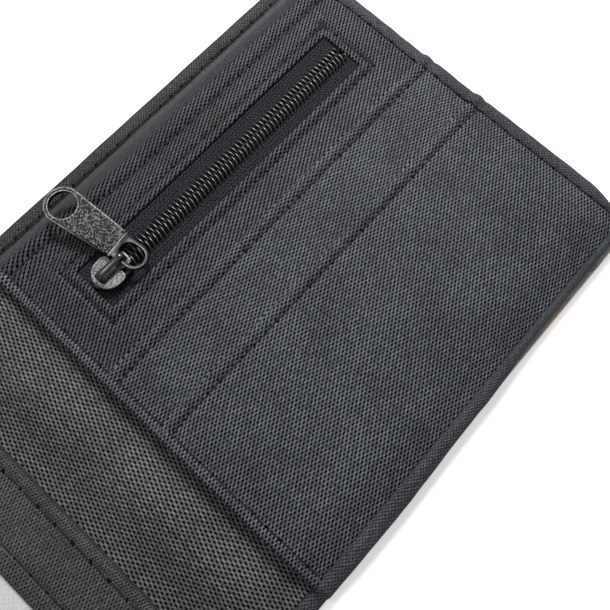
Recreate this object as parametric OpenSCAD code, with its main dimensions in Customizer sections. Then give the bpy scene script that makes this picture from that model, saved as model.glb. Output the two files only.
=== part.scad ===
// Bifold wallet lying open and flat, inside up.
// +X runs along the open width, with the coin pocket half on the +X side.
// +Y points to the bill opening, +Z is up, and the origin is the middle of the footprint.

/* [Overall] */
// Width of one half, from the middle of the spine to its outer edge
half_w = 109; // [90:0.1:132]
// Height of the wallet, from the bottom seam to the bill opening
wallet_h = 95; // [78:0.1:116]
// Width of the soft spine between the two inner panels
spine_w = 21; // [16:0.1:28]
// Distance between the spine's two fold lines, which is the room between the closed halves
fold_gap = 12.7; // [11.5:0.1:15.5]
// Radius of the two bottom corners
corner_r = 6; // [3:0.1:10]
// Radius of the two top corners
top_corner_r = 2.5; // [1:0.1:5]
// Width of the sewn band round the outer edges
band_w = 2.3; // [1.6:0.05:3]

/* [Fabric layers] */
// Thickness of the outer shell fabric
shell_t = 0.6; // [0.4:0.05:1]
// Thickness of the stiffener board inside the shell
board_t = 0.8; // [0.5:0.05:1.5]
// Thickness of the smooth lining fabric
lining_t = 0.3; // [0.2:0.01:0.6]
// Thickness of the woven inner panels and pocket sheets
panel_t = 0.5; // [0.35:0.01:0.8]
// Air between two pocket sheets that lie on each other
sheet_gap = 0.1; // [0.05:0.01:0.3]
// Height of the empty bill compartment
bill_gap = 1.2; // [0.6:0.05:3]
// Height of the hem fold along the bill opening
hem_w = 2.7; // [2:0.05:4]
// Distance from the shell's edge to the stiffener board
board_inset = 3.2; // [2.5:0.1:6]

/* [Inner panels] */
// Distance from the bill opening down to the inner panels' top edge
panel_drop = 6.2; // [4:0.1:12]
// Width of the turned edge along the fold side of each inner panel
turn_w = 2.3; // [1.6:0.05:4]
// Distance from the bill opening down to the upper card slot
upper_slot_drop = 36.7; // [34:0.1:46]
// Distance from the bill opening down to the lower card slot
lower_slot_drop = 51.2; // [46:0.1:62]

/* [Zip] */
// Distance from the bill opening down to the zip's centre line
zip_drop = 22.7; // [18:0.1:28]
// Distance from the panel's fold side to the zip window
window_from_fold = 12; // [8:0.1:20]
// Distance from the zip window to the outer edge
window_from_edge = 12.5; // [8:0.1:20]
// Height of the zip window
window_h = 10.5; // [8.4:0.1:13]
// Width of each zip tape
tape_w = 8.6; // [6:0.1:12]
// Thickness of the zip tapes
tape_t = 0.3; // [0.2:0.01:0.4]
// Width of both coil rows together
coil_w = 3.9; // [3.2:0.1:4.8]
// Height of the coil above its tape
coil_h = 1.1; // [0.8:0.05:1.6]
// Gap between the two coil rows
coil_split = 0.7; // [0.6:0.05:0.9]

/* [Slider] */
// Length of the slider
slider_l = 8.5; // [7:0.1:10.2]
// Width of the slider
slider_w = 6.8; // [6.2:0.1:8.2]
// Thickness of the slider's two plates
plate_t = 0.65; // [0.5:0.05:0.8]
// Running clearance round the zip chain
slider_clear = 0.12; // [0.08:0.01:0.2]
// Width of the bridge over the slider
bridge_w = 1.4; // [1:0.1:1.8]
// Thickness of the bridge's strap
bridge_t = 0.7; // [0.5:0.05:1]
// Radius of the bridge's round rear post
post_r = 0.55; // [0.4:0.05:0.66]

/* [Puller] */
// Length of the puller from end to end
puller_l = 24.5; // [20:0.1:30]
// Thickness of the puller's rims
puller_t = 1.1; // [0.8:0.05:1.4]
// Outer radius of the puller's round end
eye_r = 3.7; // [3.5:0.05:4.5]
// Radius of the hole in the round end
eye_hole_r = 2.9; // [2.4:0.05:3.1]
// Width of the puller's ring end
ring_w = 5.1; // [4.9:0.05:6.2]
// Length of the ring end's hole
ring_hole_l = 5.4; // [4.8:0.1:6.6]
// Width of the wire round the ring end's hole
wire_w = 0.72; // [0.6:0.01:0.85]
// Depth of the sunken face on each side of the puller
sunk_d = 0.25; // [0.1:0.01:0.3]
// Lean of the puller away from straight across the zip, in degrees
puller_lean = 5.6; // [0:0.1:10]

/* [Card window] */
// Distance from the left panel's fold side to the clear window
id_from_fold = 14.3; // [8:0.1:20]
// Distance from the clear window to the outer edge
id_from_edge = 12; // [8:0.1:20]
// Distance from the left panel's top edge to the clear window
id_from_top = 12; // [8:0.1:20]
// Distance from the bottom edge to the clear window
id_from_bottom = 12; // [8:0.1:20]
// How far the clear sheet runs under its frame
id_lap = 4; // [2:0.1:6]
// Thickness of the clear sheet
clear_t = 0.2; // [0.1:0.01:0.4]
// Thickness of the pale card behind the clear sheet
card_t = 0.25; // [0.15:0.01:0.5]

/* [Hidden] */
$fn = 64;
top_y = wallet_h / 2;
bottom_y = -wallet_h / 2;
panel_x = spine_w / 2;
fold_x = fold_gap / 2;
panel_top = top_y - panel_drop;

// Heights of the layers, from the floor up
board_z = shell_t;
lining_z = board_z + board_t;
base_z = lining_z + lining_t + bill_gap;
fold_z = base_z + panel_t;
turn_z = fold_z + sheet_gap / 2;
pocket_back_z = turn_z;
lower_plate_z = pocket_back_z + lining_t + 2 * sheet_gap;
tape_z = lower_plate_z + plate_t + slider_clear;
front_z = tape_z + tape_t;
upper_card_z = front_z + panel_t + sheet_gap;
lower_card_z = upper_card_z + panel_t + sheet_gap;
right_turn_top_z = lower_card_z + panel_t + sheet_gap + lining_t;
left_back_z = turn_z + lining_t + sheet_gap / 2;
insert_z = left_back_z + panel_t + sheet_gap;
clear_z = insert_z + card_t + sheet_gap / 2;
frame_z = clear_z + clear_t;
left_turn_top_z = frame_z + panel_t + sheet_gap + lining_t;

// The zip and its window
zip_y = top_y - zip_drop;
window_x0 = panel_x + window_from_fold;
window_x1 = half_w - window_from_edge;
tape_lap = 3;
coil_end_gap = 0.15;
coil_bevel = 0.35;

// The slider at the closed end, with its bridge and the post that the puller turns on
slider_x0 = window_x0 + 0.8;
slider_mid_x = slider_x0 + slider_w / 2;
slider_rear_w = slider_w - 1.6;
channel_w = coil_w + 2 * slider_clear;
channel_top_z = front_z + coil_h + slider_clear;
upper_plate_z = channel_top_z;
tunnel_z = upper_plate_z + plate_t;
tunnel_play = 0.15;
strap_z = tunnel_z + puller_t + 2 * tunnel_play;
front_leg_l = 1;
post_x = slider_x0 + slider_l - post_r - 0.2;
wedge_l = 1.7;
wedge_w = coil_split - 2 * slider_clear + 0.04;

// The puller's ring hangs round the post
ring_hole_w = ring_w - 2 * wire_w;
ring_centre = [post_x + 0.88, zip_y - 1.3];
puller_z = tunnel_z + tunnel_play;
eye_y = puller_l - ring_hole_l / 2 - wire_w - eye_r;
shoulder_y = ring_hole_l / 2 + wire_w + 0.7;

// A flat rectangle between two corners, raised from height z by t
module slab(x0, x1, y0, y1, z, t) {
    translate([x0, y0, z]) cube([x1 - x0, y1 - y0, t]);
}

// A square with one or two rounded corners on its +X side
module round_ended(x0, x1, y0, y1, r_low, r_high) {
    difference() {
        translate([x0, y0]) square([x1 - x0, y1 - y0]);
        translate([x1 - r_low, y0 - 1]) square([r_low + 1, r_low + 1]);
        translate([x1 - r_high, y1 - r_high]) square([r_high + 1, r_high + 1]);
    }
    translate([x1 - r_low, y0 + r_low]) circle(r_low);
    translate([x1 - r_high, y1 - r_high]) circle(r_high);
}

// The outline of one half, drawn in by an inset on its three free sides
module half_outline(inset) {
    round_ended(fold_x, half_w - inset, bottom_y + inset, top_y - inset,
        max(corner_r - inset, 0.5), max(top_corner_r - inset, 0.5));
}

// One half's layer: the outline from y0 to y1, raised from z by t
module half_layer(inset, y0, y1, z, t) {
    translate([0, 0, z]) linear_extrude(t) intersection() {
        half_outline(inset);
        translate([fold_x, y0]) square([half_w, y1 - y0]);
    }
}

// The outer shell of one half
module outer_shell() {
    half_layer(0, bottom_y, top_y, 0, shell_t);
}

// A layer that lies inside an inset outline, from x0 to the outer edge
module inset_layer(inset, x0, y1, z, t) {
    translate([0, 0, z]) linear_extrude(t) intersection() {
        half_outline(inset);
        translate([x0, bottom_y]) square([half_w - x0, y1 - bottom_y]);
    }
}

// The stiffener board of one half
module stiffener() {
    inset_layer(board_inset, panel_x + 1, top_y - board_inset, board_z, board_t);
}

// The smooth lining on the inside of the shell
module shell_lining() {
    half_layer(band_w, bottom_y + band_w, top_y - hem_w, lining_z, lining_t);
}

// The shell's hem along the bill opening
module top_hem() {
    half_layer(0, top_y - hem_w, top_y, shell_t, board_t + lining_t);
}

// The sewn band between shell and panels up to the height y1
module seam_band(y1, height) {
    translate([0, 0, shell_t]) linear_extrude(height) difference() {
        half_outline(0);
        half_outline(band_w);
        translate([fold_x - 1, y1]) square([half_w, wallet_h]);
    }
}

// Its side strip, which is low above the panels, where the bill compartment opens
module side_seam(height) {
    intersection() {
        union() {
            seam_band(panel_top, height);
            seam_band(top_y - hem_w, board_t + lining_t);
        }
        slab(half_w - corner_r, half_w + 1, bottom_y - 1, top_y + 1, 0, height + shell_t + 1);
    }
}

// Its bottom strip, which is as low as the spine's beside the fold
module bottom_seam(height) {
    difference() {
        seam_band(panel_top, height);
        slab(half_w - corner_r, half_w + 1, bottom_y - 1, top_y + 1, -1, height + shell_t + 2);
        slab(0, panel_x, bottom_y - 1, top_y, fold_z, height + 1);
    }
}

// The inner base panel, which the bill compartment lies under
module base_panel() {
    half_layer(band_w, bottom_y + band_w, panel_top, base_z, panel_t);
}

// The turned edge along the fold side of an inner panel, open towards the panel
module turned_edge(z_top) {
    y0 = bottom_y + band_w;
    difference() {
        slab(panel_x, panel_x + turn_w, y0, panel_top, turn_z, z_top - turn_z);
        slab(panel_x + panel_t, panel_x + turn_w + 1, y0 - 1, panel_top + 1,
            turn_z + lining_t, z_top - turn_z - 2 * lining_t);
    }
}

module right_outer_shell() { color("#7a4a6c") outer_shell(); }
module right_stiffener() { color("#b9b2a2") stiffener(); }
module right_shell_lining() { color("#57575c") shell_lining(); }
module right_top_hem() { color("#5c585a") top_hem(); }
module right_side_seam() { color("#4b4c50") side_seam(front_z - shell_t); }
module right_bottom_seam() { color("#4b4c50") bottom_seam(front_z - shell_t); }
module right_base_panel() { color("#515254") base_panel(); }

// The back of the coin pocket's bag
module coin_pocket_back() {
    color("#3c3c40") inset_layer(band_w, panel_x + turn_w + sheet_gap, panel_top - band_w,
        pocket_back_z, lining_t);
}

// The folded top edge of the right panel, between the base and the pocket's front
module coin_pocket_top_seam() {
    color("#46474b") slab(panel_x + turn_w + sheet_gap, half_w - band_w,
        panel_top - band_w, panel_top, fold_z, front_z - fold_z);
}

// The coin pocket's front panel with its zip window
module coin_pocket_front() {
    color("#4c4e53") difference() {
        inset_layer(0, panel_x + panel_t + sheet_gap, panel_top, front_z, panel_t);
        slab(window_x0, window_x1, zip_y - window_h / 2, zip_y + window_h / 2, front_z - 1, panel_t + 2);
    }
}

// One zip tape, from the split between the coil rows to under the panel
module zip_tape() {
    slab(window_x0 - tape_lap, window_x1 + tape_lap, coil_split / 2, coil_split / 2 + tape_w, tape_z, tape_t);
}

// One coil row, which stands on its tape inside the window
module zip_coil() {
    y0 = coil_split / 2;
    y1 = coil_w / 2;
    length = window_x1 - window_x0 - 2 * coil_end_gap;
    translate([window_x0 + coil_end_gap, 0, front_z]) rotate([90, 0, 90]) linear_extrude(length)
        polygon([[y0, 0], [y1, 0], [y1, coil_h - coil_bevel], [y1 - coil_bevel, coil_h], [y0, coil_h]]);
}

module zip_tape_upper() { color("#2e2e33") translate([0, zip_y, 0]) zip_tape(); }
module zip_tape_lower() { color("#2e2e33") translate([0, zip_y, 0]) mirror([0, 1, 0]) zip_tape(); }
module zip_coil_upper() { color("#1b1b1f") translate([0, zip_y, 0]) zip_coil(); }
module zip_coil_lower() { color("#1b1b1f") translate([0, zip_y, 0]) mirror([0, 1, 0]) zip_coil(); }

// The card pockets: two sheets whose folded top edges are the slots
module card_pocket_upper() {
    color("#4f5156") inset_layer(0, panel_x + panel_t + sheet_gap, top_y - upper_slot_drop,
        upper_card_z, panel_t);
}
module card_pocket_lower() {
    color("#54575b") inset_layer(0, panel_x + panel_t + sheet_gap, top_y - lower_slot_drop,
        lower_card_z, panel_t);
}
module right_turned_edge() { color("#434448") turned_edge(right_turn_top_z); }

// Outline of the slider's plates: a round nose with shoulders and a narrower rear
module slider_outline() {
    nose_r = slider_w / 2;
    rear_x = slider_x0 + slider_l;
    rear_r = 0.8;
    intersection() {
        translate([slider_mid_x, zip_y]) circle(nose_r);
        translate([slider_x0, zip_y - nose_r]) square([nose_r + 0.01, slider_w]);
    }
    polygon([
        [slider_mid_x, zip_y - nose_r], [slider_mid_x + 1.4, zip_y - nose_r],
        [rear_x - rear_r, zip_y - slider_rear_w / 2], [rear_x, zip_y - slider_rear_w / 2 + rear_r],
        [rear_x, zip_y + slider_rear_w / 2 - rear_r], [rear_x - rear_r, zip_y + slider_rear_w / 2],
        [slider_mid_x + 1.4, zip_y + nose_r], [slider_mid_x, zip_y + nose_r]
    ]);
}

module slider_plate(z) {
    translate([0, 0, z]) linear_extrude(plate_t) slider_outline();
}

// The two side walls that hold the coil in the slider's channel
module slider_walls() {
    wall_z = front_z + slider_clear;
    difference() {
        translate([0, 0, wall_z]) linear_extrude(upper_plate_z - wall_z) slider_outline();
        slab(slider_x0 - 1, slider_x0 + slider_l + 1, zip_y - channel_w / 2, zip_y + channel_w / 2,
            wall_z - 1, coil_h + 2);
    }
}

// The bridge: a strap on a flat front leg and a round rear post
module slider_bridge() {
    strap_x0 = slider_x0 + 0.9;
    slab(strap_x0, strap_x0 + front_leg_l, zip_y - bridge_w / 2, zip_y + bridge_w / 2,
        tunnel_z, strap_z - tunnel_z);
    slab(strap_x0, post_x, zip_y - bridge_w / 2, zip_y + bridge_w / 2, strap_z, bridge_t);
    translate([post_x, zip_y, strap_z]) cylinder(bridge_t, r = bridge_w / 2);
    translate([post_x, zip_y, tunnel_z]) cylinder(strap_z - tunnel_z, r = post_r);
}

module zip_slider() {
    color("#141417") {
        slider_plate(lower_plate_z);
        slider_plate(upper_plate_z);
        slider_walls();
        slab(slider_x0 + 0.3, slider_x0 + 0.3 + wedge_l, zip_y - wedge_w / 2, zip_y + wedge_w / 2,
            lower_plate_z, upper_plate_z - lower_plate_z);
        slider_bridge();
    }
}

// A slot with round ends along Y, about the origin
module stadium(width, length) {
    for (side = [-1, 1]) translate([0, side * (length - width) / 2]) circle(width / 2);
    square([width, length - width], center = true);
}

// The puller's flat outline: ring end, tapered tab and round end, without its holes
module puller_outline(inset) {
    tab_w = ring_w - 0.3;
    stadium(ring_w - 2 * inset, ring_hole_l + 2 * wire_w - 2 * inset);
    translate([0, eye_y]) circle(eye_r - inset);
    polygon([
        [-tab_w / 2 + inset, 1], [tab_w / 2 - inset, 1],
        [eye_r - inset, eye_y], [-eye_r + inset, eye_y]
    ]);
}

// The sunken face between the rims, on one side of the tab
module sunken_face() {
    rim = 0.7;
    difference() {
        intersection() {
            puller_outline(rim);
            translate([-eye_r, shoulder_y]) square([2 * eye_r, eye_y - shoulder_y]);
        }
        translate([0, eye_y]) circle(eye_hole_r + rim);
    }
}

module zip_puller() {
    color("#1d1d20") translate([ring_centre[0], ring_centre[1], puller_z]) rotate(puller_lean)
    difference() {
        linear_extrude(puller_t) puller_outline(0);
        translate([0, eye_y, -1]) cylinder(puller_t + 2, r = eye_hole_r);
        translate([0, 0, -1]) linear_extrude(puller_t + 2) stadium(ring_hole_w, ring_hole_l);
        translate([0, 0, -1]) linear_extrude(sunk_d + 1) sunken_face();
        translate([0, 0, puller_t - sunk_d]) linear_extrude(sunk_d + 1) sunken_face();
    }
}

// The stretch of the spine between the two fold lines
module spine_strip(y0, y1, z, t) {
    slab(-fold_x, fold_x, y0, y1, z, t);
}

module spine_shell() { color("#7a4a6c") spine_strip(bottom_y, top_y, 0, shell_t); }
module spine_lining() {
    color("#57575c") spine_strip(bottom_y + band_w, top_y - hem_w, lining_z, lining_t);
}
module spine_base() { color("#5b5b5b") spine_strip(bottom_y + band_w, panel_top, base_z, panel_t); }
module spine_top_hem() {
    color("#5c585a") spine_strip(top_y - hem_w, top_y, shell_t, board_t + lining_t);
}
module spine_bottom_seam() {
    color("#4b4c50") spine_strip(bottom_y, bottom_y + band_w, shell_t, fold_z - shell_t);
}

// The left half mirrors the right half's shell and holds the card window
module on_left() { mirror([1, 0, 0]) children(); }

module left_outer_shell() { color("#7a4a6c") on_left() outer_shell(); }
module left_stiffener() { color("#b9b2a2") on_left() stiffener(); }
module left_shell_lining() { color("#57575c") on_left() shell_lining(); }
module left_top_hem() { color("#5c585a") on_left() top_hem(); }
module left_side_seam() { color("#4b4c50") on_left() side_seam(frame_z - shell_t); }
module left_bottom_seam() { color("#4b4c50") on_left() bottom_seam(frame_z - shell_t); }
module left_base_panel() { color("#515254") on_left() base_panel(); }
module left_turned_edge() { color("#46474a") on_left() turned_edge(left_turn_top_z); }

// The panel behind the card window, with a hidden pocket between it and the base
module left_pocket_panel() {
    color("#48484b") on_left() inset_layer(band_w, panel_x + panel_t + sheet_gap, panel_top - band_w,
        left_back_z, panel_t);
}

// The folded top edge of the left panel
module left_top_seam() {
    color("#46474b") on_left() slab(panel_x + turn_w + sheet_gap, half_w - band_w,
        panel_top - band_w, panel_top, fold_z, frame_z - fold_z);
}

// A layer of the card window, larger than the opening by a lap all round
module id_layer(lap, z, t) {
    on_left() slab(panel_x + id_from_fold - lap, half_w - id_from_edge + lap,
        bottom_y + id_from_bottom - lap, panel_top - id_from_top + lap, z, t);
}

module id_insert_card() { color("#c9c8c3") id_layer(id_lap - 1, insert_z, card_t); }
module id_clear_window() { color("#dfe6ea") id_layer(id_lap, clear_z, clear_t); }

// The fabric frame round the clear window
module id_frame() {
    color("#4a4a4b") difference() {
        on_left() inset_layer(0, panel_x + panel_t + sheet_gap, panel_top, frame_z, panel_t);
        id_layer(0, frame_z - 1, panel_t + 2);
    }
}

right_outer_shell();
right_stiffener();
right_shell_lining();
right_top_hem();
right_side_seam();
right_bottom_seam();
right_base_panel();
coin_pocket_back();
coin_pocket_top_seam();
coin_pocket_front();
zip_tape_upper();
zip_tape_lower();
zip_coil_upper();
zip_coil_lower();
card_pocket_upper();
card_pocket_lower();
right_turned_edge();
zip_slider();
zip_puller();
spine_shell();
spine_lining();
spine_base();
spine_top_hem();
spine_bottom_seam();
left_outer_shell();
left_stiffener();
left_shell_lining();
left_top_hem();
left_side_seam();
left_bottom_seam();
left_base_panel();
left_pocket_panel();
left_top_seam();
left_turned_edge();
id_insert_card();
id_clear_window();
id_frame();
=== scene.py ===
import math
import random

import bmesh
import bpy
from bpy.props import FloatProperty, FloatVectorProperty, PointerProperty
from mathutils import Matrix, Vector, noise


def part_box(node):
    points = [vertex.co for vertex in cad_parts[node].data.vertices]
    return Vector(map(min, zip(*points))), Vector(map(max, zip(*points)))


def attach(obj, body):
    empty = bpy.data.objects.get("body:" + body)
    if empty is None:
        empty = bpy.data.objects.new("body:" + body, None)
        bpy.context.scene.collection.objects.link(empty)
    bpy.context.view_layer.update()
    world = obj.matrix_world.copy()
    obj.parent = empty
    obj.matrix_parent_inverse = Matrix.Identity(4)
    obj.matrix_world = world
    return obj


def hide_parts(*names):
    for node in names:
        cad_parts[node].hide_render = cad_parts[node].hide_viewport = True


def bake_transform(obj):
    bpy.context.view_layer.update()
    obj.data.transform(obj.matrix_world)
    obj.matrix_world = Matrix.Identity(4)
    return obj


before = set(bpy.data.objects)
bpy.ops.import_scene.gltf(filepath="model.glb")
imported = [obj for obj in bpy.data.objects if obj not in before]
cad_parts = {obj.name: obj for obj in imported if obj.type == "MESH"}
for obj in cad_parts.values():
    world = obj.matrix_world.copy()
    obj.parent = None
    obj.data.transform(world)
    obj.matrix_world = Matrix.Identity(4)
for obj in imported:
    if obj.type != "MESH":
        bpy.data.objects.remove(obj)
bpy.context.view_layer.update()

bl_info = {
    "name": "Fabric bifold wallet",
    "version": (1, 0, 0),
    "blender": (4, 5, 0),
    "location": "3D View > Sidebar > Wallet",
    "description": "Dresses a bifold wallet's frame in woven fabric, a coil zip and topstitching",
    "category": "Add Mesh",
}

# ---------------------------------------------------------------- sizes, in millimetres

MM = 0.001


def node_low(name):
    return [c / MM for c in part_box(name)[0]]


def node_high(name):
    return [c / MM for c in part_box(name)[1]]


HALF_W = node_high("right_outer_shell")[0]
TOP_Y = node_high("right_outer_shell")[1]
BOTTOM_Y = node_low("right_outer_shell")[1]
SHELL_T = node_high("right_outer_shell")[2]
PANEL_X = node_low("right_turned_edge")[0]
TURN_X = node_high("right_turned_edge")[0]
PANEL_TOP = node_high("coin_pocket_front")[1]
UPPER_SLOT_Y = node_high("card_pocket_upper")[1]
LOWER_SLOT_Y = node_high("card_pocket_lower")[1]
HEM_Y = node_low("right_top_hem")[1]
BOARD_TOP_Y = node_high("right_stiffener")[1]
LINING_TOP = node_high("right_shell_lining")[2]
BASE_TOP = node_high("right_base_panel")[2]
FRONT_TOP = node_high("coin_pocket_front")[2]
UPPER_TOP = node_high("card_pocket_upper")[2]
LOWER_TOP = node_high("card_pocket_lower")[2]
PANEL_T = FRONT_TOP - node_low("coin_pocket_front")[2]
TAPE_TOP = node_high("zip_tape_upper")[2]
TAPE_T = TAPE_TOP - node_low("zip_tape_upper")[2]
COIL_H = node_high("zip_coil_upper")[2] - TAPE_TOP
COIL_W = node_high("zip_coil_upper")[1] - node_low("zip_coil_lower")[1]
ZIP_Y = (node_high("zip_coil_upper")[1] + node_low("zip_coil_lower")[1]) / 2
COIL_X0 = node_low("zip_coil_upper")[0]
COIL_X1 = node_high("zip_coil_upper")[0]
FRAME_TOP = node_high("id_frame")[2]
CLEAR_TOP = node_high("id_clear_window")[2]
INSERT_TOP = node_high("id_insert_card")[2]

# Corners
CORNER_R = 6.0
TOP_CORNER_R = 2.5
CARD_CORNER_R = 2.5

# The zip window, and how far the clear sheet reaches in behind the card window's frame
WINDOW_H = 10.5
WINDOW_GAP = 0.15
ID_LAP = 4.0

# Stitch lines: in from the sewn edges, down from a slot, out from the two windows, and down from the
# panels' top edge
EDGE_STITCH = 3.1
HEM_STITCH = 2.6
WINDOW_SEAM = 2.3
ID_SEAM = 3.5
TOP_SEAM = 3.1

# The line of the hem's stitches
HEM_SEAM_Y = HEM_Y + 0.35

# The pocket sheets end behind the turned edges, and are a little thinner than the stack's layers
EDGE_HIDE = 1.2
SHEET_X = PANEL_X + 0.6
SHEET_T = PANEL_T - 0.04
SHEET_STEP = 0.9

# Past the board the shell lifts off the floor towards the bill opening, over this distance
SHELL_LIFT = 2.3
SHELL_LIFT_RUN = 2.9

# Where the pulled-up top edge and the lifted back layer start
DRAWN_FROM_Y = 35.0
BACK_LIFT_FROM_Y = 38.5

WINDOW = (
    COIL_X0 - WINDOW_GAP,
    COIL_X1 + WINDOW_GAP,
    ZIP_Y - WINDOW_H / 2,
    ZIP_Y + WINDOW_H / 2,
)
ID_WINDOW = (
    -node_high("id_clear_window")[0] + ID_LAP,
    -node_low("id_clear_window")[0] - ID_LAP,
    node_low("id_clear_window")[1] + ID_LAP,
    node_high("id_clear_window")[1] - ID_LAP,
)

# Pulled folds at the zip window's corners: start, end, width and depth
FRONT_CREASES = (
    ((TURN_X, 12.2), (20.5, 17.2), 0.8, 0.42),
    ((98.0, 31.8), (104.5, 38.5), 1.1, 0.4),
    ((97.5, 20.0), (105.0, 14.5), 1.6, 0.22),
    ((22.0, 36.0), (15.0, 39.5), 1.3, 0.25),
)

# Colours of the finishes that the settings below don't hold
FRONT_WEAVE = (0.062, 0.065, 0.071)
HEM_WEAVE = (0.046, 0.044, 0.046)
BINDING_WEAVE = (0.056, 0.059, 0.066)
# Painted shade: near-black that darkens the coin pocket's cloth over a band above the zip
PAINTED_SHADE = (0.004, 0.004, 0.005)
# Cream that the print turns towards: partly faded nylon, partly painted light on the turned edge, which
# lies in shade
FADED_NYLON_AND_PAINTED_LIGHT = (0.86, 0.8, 0.72)
PRINT_OUTLINE = (0.05, 0.02, 0.05)
PRINT_PATCHES = [
    (0.0, (0.62, 0.15, 0.16)),
    (0.16, (0.82, 0.38, 0.14)),
    (0.3, (0.25, 0.1, 0.3)),
    (0.42, (0.08, 0.27, 0.32)),
    (0.54, (0.8, 0.36, 0.4)),
    (0.7, (0.84, 0.76, 0.64)),
]
SCUFFED_METAL = (0.12, 0.12, 0.125)
# Painted highlights: the grey of the slider's cap and of the rims, laid on in broken patches
PAINTED_CAP_HIGHLIGHT = (0.3, 0.3, 0.305)
PAINTED_RIM_HIGHLIGHT = (0.4, 0.4, 0.41)
# Grey of the stippled face's grains: worn metal and painted glints
GRAIN_WEAR_AND_GLINT = (0.2, 0.2, 0.21)


# ---------------------------------------------------------------- what a user may change

class WalletSizes(bpy.types.PropertyGroup):
    """Sizes of the fabric's finish, which the frame doesn't fix"""

    stitch_pitch: FloatProperty(
        name="Stitch pitch", description="Distance from one topstitch to the next",
        default=3.1 * MM, min=1.5 * MM, max=6 * MM, unit="LENGTH")
    thread: FloatProperty(
        name="Thread", description="Thickness of the sewing thread",
        default=0.42 * MM, min=0.1 * MM, max=0.8 * MM, unit="LENGTH")
    yarn_long: FloatProperty(
        name="Yarn length", description="Length of one float of the panel weave",
        default=0.77 * MM, min=0.2 * MM, max=2 * MM, unit="LENGTH")
    yarn_short: FloatProperty(
        name="Yarn width", description="Width of one float of the panel weave",
        default=0.395 * MM, min=0.1 * MM, max=1 * MM, unit="LENGTH")
    coil_pitch: FloatProperty(
        name="Coil pitch", description="Distance from one tooth of a coil row to the next",
        default=1.05 * MM, min=0.6 * MM, max=2 * MM, unit="LENGTH")
    crown: FloatProperty(
        name="Crown", description="Share of its thickness that the wallet loses at its sewn edges",
        default=0.42, min=0.0, max=0.6, subtype="FACTOR")


class WalletColours(bpy.types.PropertyGroup):
    """Colours of the wallet's fabrics and fittings"""

    panel: FloatVectorProperty(
        name="Panel weave", description="Colour of the woven pocket panels",
        default=(0.088, 0.097, 0.106), size=3, min=0, max=1, subtype="COLOR")
    spine: FloatVectorProperty(
        name="Spine weave", description="Colour of the woven spine and the left panel",
        default=(0.104, 0.105, 0.110), size=3, min=0, max=1, subtype="COLOR")
    lining: FloatVectorProperty(
        name="Lining", description="Colour of the smooth lining of the bill compartment",
        default=(0.050, 0.050, 0.056), size=3, min=0, max=1, subtype="COLOR")
    thread: FloatVectorProperty(
        name="Thread", description="Colour of the sewing thread",
        default=(0.010, 0.010, 0.012), size=3, min=0, max=1, subtype="COLOR")
    tape: FloatVectorProperty(
        name="Zip tape", description="Colour of the zip's tapes",
        default=(0.0138, 0.0138, 0.017), size=3, min=0, max=1, subtype="COLOR")
    enamel: FloatVectorProperty(
        name="Enamel", description="Colour of the enamelled slider and puller",
        default=(0.016, 0.016, 0.018), size=3, min=0, max=1, subtype="COLOR")
    card: FloatVectorProperty(
        name="Insert card", description="Colour of the card behind the clear window",
        default=(0.56, 0.55, 0.52), size=3, min=0, max=1, subtype="COLOR")


def sizes():
    return bpy.context.scene.wallet_sizes


def colours():
    return bpy.context.scene.wallet_colours


# ---------------------------------------------------------------- node helpers

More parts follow.
